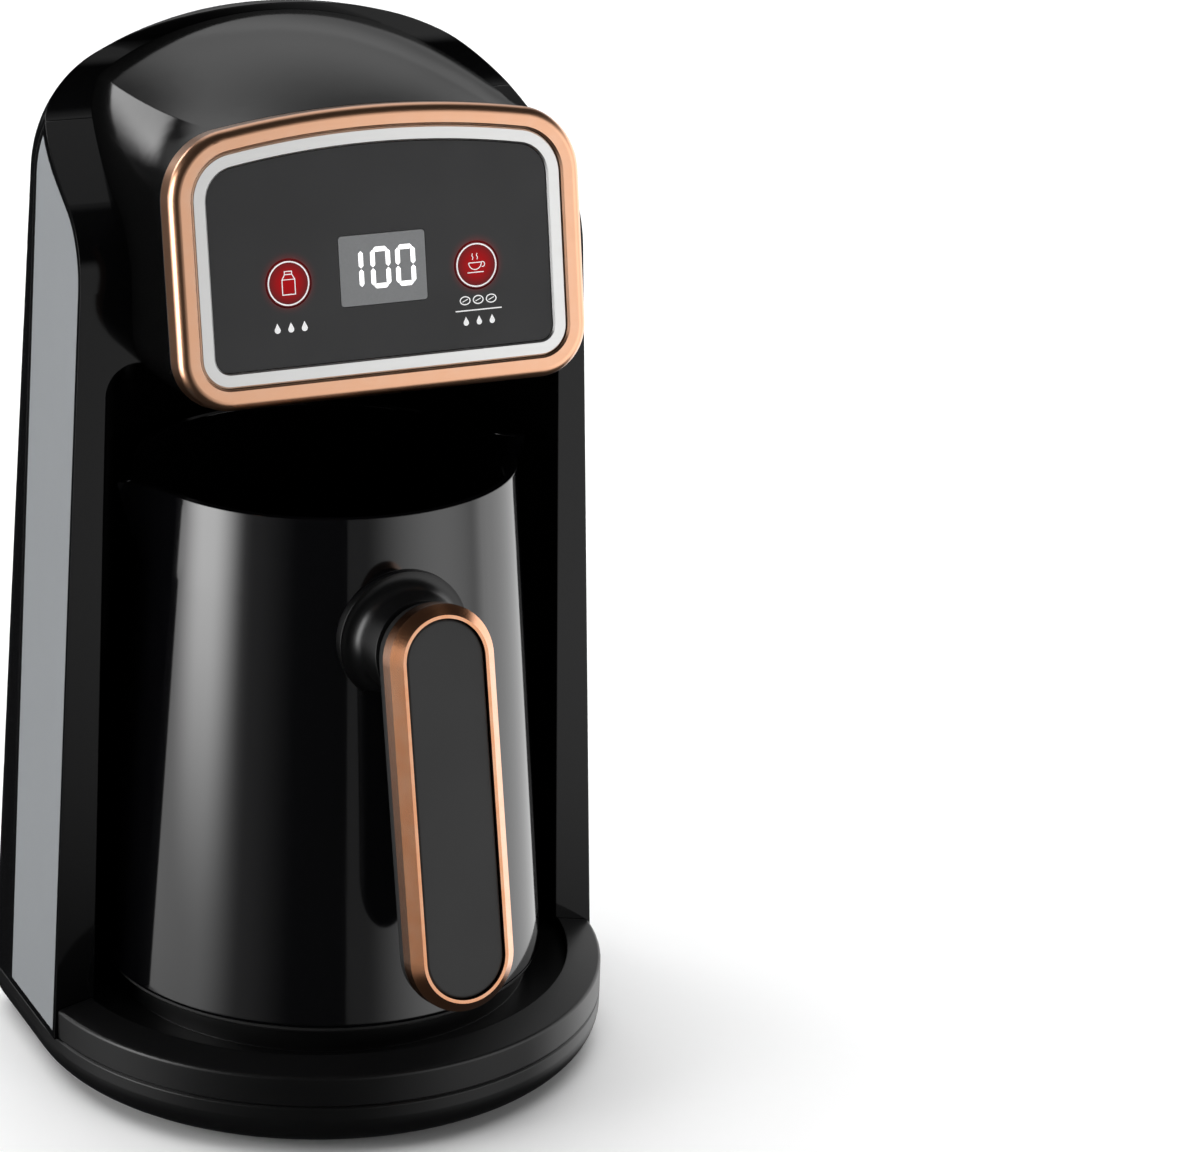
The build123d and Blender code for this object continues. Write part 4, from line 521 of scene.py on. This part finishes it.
def dress_nodes():
    """Gives every piece of the frame its finish."""
    black = gloss_finish("gloss_black", (0.0016, 0.0016, 0.0018), 0.06, 0.09, 0.012, 0.28)
    coat = gloss_finish("pot_coat", (0.0016, 0.0016, 0.0020), 0.06, 0.09, 0.012, 0.85)
    hood = gloss_finish("hood_black", (0.0025, 0.0025, 0.0025), 0.11, 0.14, 0.015)
    neck = gloss_finish("neck_black", (0.0030, 0.0030, 0.0032), 0.27, 0.32, 0.015)
    deck = gloss_finish("deck_black", (0.0030, 0.0030, 0.0032), 0.33, 0.38, 0.015)
    grey = satin_finish("panel_grey", (0.232, 0.243, 0.254), 0.36, 0.40, 5200.0, 0.012 * MM)
    matte = satin_finish("matte_black", (0.008, 0.008, 0.008), 0.5, 0.6, 2200.0, 0.03 * MM)
    inlay = satin_finish("grip_inlay", (0.030, 0.030, 0.030), 0.5, 0.56, 3000.0, 0.015 * MM)
    # The second colour of each plated finish is that of its paler outer edges, partly rubbed wear and partly
    # painted edge highlight
    rose = plated_finish("rose_gold", (0.96, 0.51, 0.30), (0.97, 0.62, 0.44), 0.28, 0.33, 1.0)
    copper = plated_finish("grip_copper", (0.88, 0.37, 0.165), (0.92, 0.50, 0.31), 0.22, 0.26, 1.0)
    silver = plated_finish("silver", (0.90, 0.90, 0.885), (0.92, 0.92, 0.92), 0.32, 0.38)
    glass = panel_glass_finish("panel_glass", (0.022, 0.022, 0.023), 0.40, 0.5)
    key = panel_glass_finish("key_glass", (0.022, 0.022, 0.023), 0.40, 0.12)
    window = satin_finish("display_grey", (0.235, 0.24, 0.245), 0.3, 0.36, 1800.0, 0.005 * MM)
    smoked = gloss_finish("smoked_window", (0.02, 0.02, 0.022), 0.05, 0.08, 0.02)
    rubber = satin_finish("rubber", (0.02, 0.02, 0.02), 0.7, 0.8, 1800.0, 0.06 * MM)
    steel = plated_finish("steel", (0.62, 0.62, 0.61), (0.75, 0.75, 0.74), 0.22, 0.36)
    brass = plated_finish("brass", (0.80, 0.60, 0.30), (0.90, 0.75, 0.50), 0.22, 0.34)
    board = satin_finish("board_green", (0.02, 0.14, 0.06), 0.4, 0.5, 1500.0, 0.03 * MM)
    moulded = satin_finish("moulded_dark", (0.05, 0.05, 0.055), 0.45, 0.55, 1800.0, 0.04 * MM)
    clear = satin_finish("light_guide", (0.75, 0.75, 0.75), 0.15, 0.2, 1200.0, 0.01 * MM)
    by_slot = {
        "gloss_black": black,
        "pot_black": coat,
        "deck_black": deck,
        "panel_grey": grey,
        "rose_gold": rose,
        "silver": silver,
        "panel_glass": glass,
        "display_glass": smoked,
        "matte_black": matte,
        "clear_guide": clear,
        "electronics": moulded,
        "board": board,
        "rubber": rubber,
        "steel": steel,
        "brass": brass,
    }
    special = {
        "head_shell": hood,
        "handle_inlay": inlay,
        "handle_neck": neck,
        "handle_frame": copper,
        "display_window": window,
        "base_pan": deck,
        "key_left": key,
        "key_right": key,
    }
    for part in frame["record"]["subparts"]:
        name = part["node"]
        data = nodes[name].data
        data.materials.clear()
        data.materials.append(special.get(name, by_slot[part["material_slot"]]))


# Signs on the control panel


def panel_level(node):
    """Height of a piece's front face over the panel plane."""
    return max((v.co - PANEL_MIDDLE).dot(PANEL_OUT) for v in nodes[node].data.vertices)


def on_panel(u, v, level):
    """Point of the panel from millimetres to the right and up."""
    return PANEL_MIDDLE + Vector((u * MM, 0, 0)) + v * MM * PANEL_UP + level * PANEL_OUT


def stroke_outline(points, width, closed):
    """Left and right edge of a line of even width through points, with mitred corners."""
    left, right = [], []
    count = len(points)
    for i, point in enumerate(points):
        before = points[i - 1] if closed or i > 0 else None
        after = points[(i + 1) % count] if closed or i < count - 1 else None
        here = Vector(point)
        first = (here - Vector(before)).normalized() if before is not None else None
        second = (Vector(after) - here).normalized() if after is not None else None
        along = (first or second) + (second or first)
        along.normalize()
        side = Vector((-along.y, along.x))
        lean = max(MITRE_LIMIT, abs(along.dot(second or first)))
        left.append(here + side * (width / 2 / lean))
        right.append(here - side * (width / 2 / lean))
    return left, right


def sign(name, strokes, fills, level, body, material):
    """Printed or lit sign: lines (points, width, closed) and filled outlines, just proud of the panel."""
    mesh = bmesh.new()
    top = level + SIGN_PROUD * MM
    base = level - SIGN_SUNK * MM

    def slab(ring):
        upper = [mesh.verts.new(on_panel(p[0], p[1], top)) for p in ring]
        lower = [mesh.verts.new(on_panel(p[0], p[1], base)) for p in ring]
        mesh.faces.new(upper)
        mesh.faces.new(lower[::-1])
        for i in range(len(ring)):
            j = (i + 1) % len(ring)
            mesh.faces.new((upper[j], upper[i], lower[i], lower[j]))

    for points, width, closed in strokes:
        left, right = stroke_outline(points, width, closed)
        rows = []
        for a, b in zip(left, right):
            rows.append([mesh.verts.new(on_panel(p.x, p.y, h)) for p in (a, b) for h in (top, base)])
        steps = len(rows) if closed else len(rows) - 1
        for i in range(steps):
            la, lb, ra, rb = rows[i]
            lc, ld, rc, rd = rows[(i + 1) % len(rows)]
            mesh.faces.new((la, ra, rc, lc))
            mesh.faces.new((lb, ld, rd, rb))
            mesh.faces.new((la, lc, ld, lb))
            mesh.faces.new((ra, rb, rd, rc))
        if not closed:
            la, lb, ra, rb = rows[0]
            mesh.faces.new((la, lb, rb, ra))
            la, lb, ra, rb = rows[-1]
            mesh.faces.new((la, ra, rb, lb))
    for ring in fills:
        slab(ring)
    bmesh.ops.recalc_face_normals(mesh, faces=mesh.faces)
    data = bpy.data.meshes.new(name)
    mesh.to_mesh(data)
    mesh.free()
    data.materials.append(material)
    piece = bpy.data.objects.new(name, data)
    scene.collection.objects.link(piece)
    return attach(piece, body)


def circle(u, v, radius, count=48, start=0.0, turn=2 * pi, wide=1.0):
    """Points on an arc; wide stretches it sideways."""
    whole = abs(turn - 2 * pi) < 1e-6
    steps = count if whole else count - 1
    return [
        (u + wide * radius * cos(start + turn * i / steps), v + radius * sin(start + turn * i / steps))
        for i in range(count)
    ]


SEGMENTS = {"1": "bc", "0": "abcdef"}


def digit_fills(digit, u, v):
    """Seven-segment digit as six-sided bars."""
    half_w, half_h = DIGIT_WIDE / 2, DIGIT_TALL / 2
    lines = {
        "a": ((-half_w, half_h), (half_w, half_h)),
        "b": ((half_w, half_h), (half_w, 0)),
        "c": ((half_w, 0), (half_w, -half_h)),
        "d": ((half_w, -half_h), (-half_w, -half_h)),
        "e": ((-half_w, -half_h), (-half_w, 0)),
        "f": ((-half_w, 0), (-half_w, half_h)),
    }
    fills = []
    for name in SEGMENTS[digit]:
        start, end = (Vector(p) + Vector((u, v)) for p in lines[name])
        along = (end - start).normalized()
        side = Vector((-along.y, along.x)) * DIGIT_BAR / 2
        a, b = start + along * DIGIT_GAP, end - along * DIGIT_GAP
        near, far = along * (DIGIT_BAR / 2), along * (-DIGIT_BAR / 2)
        fills.append([a, a + near - side, b + far - side, b, b + far + side, a + near + side])
    return fills


def drop_outline(u, v, size):
    """Water drop."""
    ring = [(u, v + 1.1 * size)]
    ring += circle(u, v - 0.25 * size, 0.62 * size, 15, radians(25), -radians(230))
    return ring


def shifted(points, u, v):
    """Points moved sideways and up."""
    return [(u + x, v + y) for x, y in points]


def carton_lines(u, v):
    """Milk carton with a cap, round a middle."""
    body = [(-1.6, -2.6), (1.6, -2.6), (1.6, 0.9), (0.9, 2.1), (-0.9, 2.1), (-1.6, 0.9)]
    cap = [(-0.9, 2.1), (-0.9, 2.8), (0.9, 2.8), (0.9, 2.1)]
    return [
        (shifted(body, u, v), LINE, True),
        (shifted([(-1.6, 0.9), (1.6, 0.9)], u, v), THIN_LINE, False),
        (shifted(cap, u, v), LINE, False),
    ]


def cup_lines(u, v):
    """Cup with its ear, saucer and steam, round a middle."""
    lines = [
        (shifted([(-2.0, 0.6), (1.3, 0.6)], u, v), LINE, False),
        (circle(u - 0.35, v + 0.6, 1.65, 16, pi, pi), LINE, False),
        (circle(u + 1.55, v + 0.1, 0.6, 10, radians(120), -radians(230)), THIN_LINE, False),
        (shifted([(-2.4, -1.7), (1.8, -1.7)], u, v), LINE, False),
    ]
    for steam in ([-1.0, -0.8, -1.1, -0.9], [0.2, 0.4, 0.1, 0.3]):
        lines.append((shifted(list(zip(steam, (1.3, 1.8, 2.3, 2.8))), u, v), STEAM_LINE, False))
    return lines


def panel_signs():
    """Digits, key rings, line signs and the small marks under the keys."""
    digits = lit_finish("lit_digits", (1.0, 1.0, 1.0), 1.0)
    white = lit_finish("printed_white", (0.80, 0.80, 0.80), 0.35)
    level = panel_level("display_window")
    fills = []
    for digit, u in zip("100", DIGITS_X):
        fills += digit_fills(digit, u, DIGITS_Y)
    sign("display_digits", [], fills, level, "stand", digits)
    left, right = -KEY_X, KEY_X
    level = panel_level("key_left")
    ring = [(circle(left, KEY_Y, RING_RADIUS), RING_LINE, True)]
    sign("left_key_sign", ring + carton_lines(left, KEY_Y), [], level, "left_key", white)
    ring = [(circle(right, KEY_Y, RING_RADIUS), RING_LINE, True)]
    sign("right_key_sign", ring + cup_lines(right, KEY_Y), [], level, "right_key", white)
    level = panel_level("front_panel")
    marks = [drop_outline(left + step, LEFT_DROPS_Y, LEFT_DROP) for step in MARK_STEPS]
    marks += [drop_outline(right + step, RIGHT_DROPS_Y, RIGHT_DROP) for step in MARK_STEPS]
    ends = [(-MARK_LINE_HALF, 0), (MARK_LINE_HALF, 0)]
    crease = [(-0.7, -0.3), (0, 0), (0.7, 0.3)]
    lines = [(shifted(ends, right, MARK_LINE_Y), MARK_LINE, False)]
    for step in MARK_STEPS:
        u = right + step
        lines.append((circle(u, BEANS_Y, BEAN_RADIUS, 20, 0.0, 2 * pi, BEAN_STRETCH), BEAN_LINE, True))
        lines.append((shifted(crease, u, BEANS_Y), THIN_LINE, False))
    sign("panel_marks", lines, marks, level, "stand", white)


place_camera()
studio()
dress_nodes()
panel_signs()
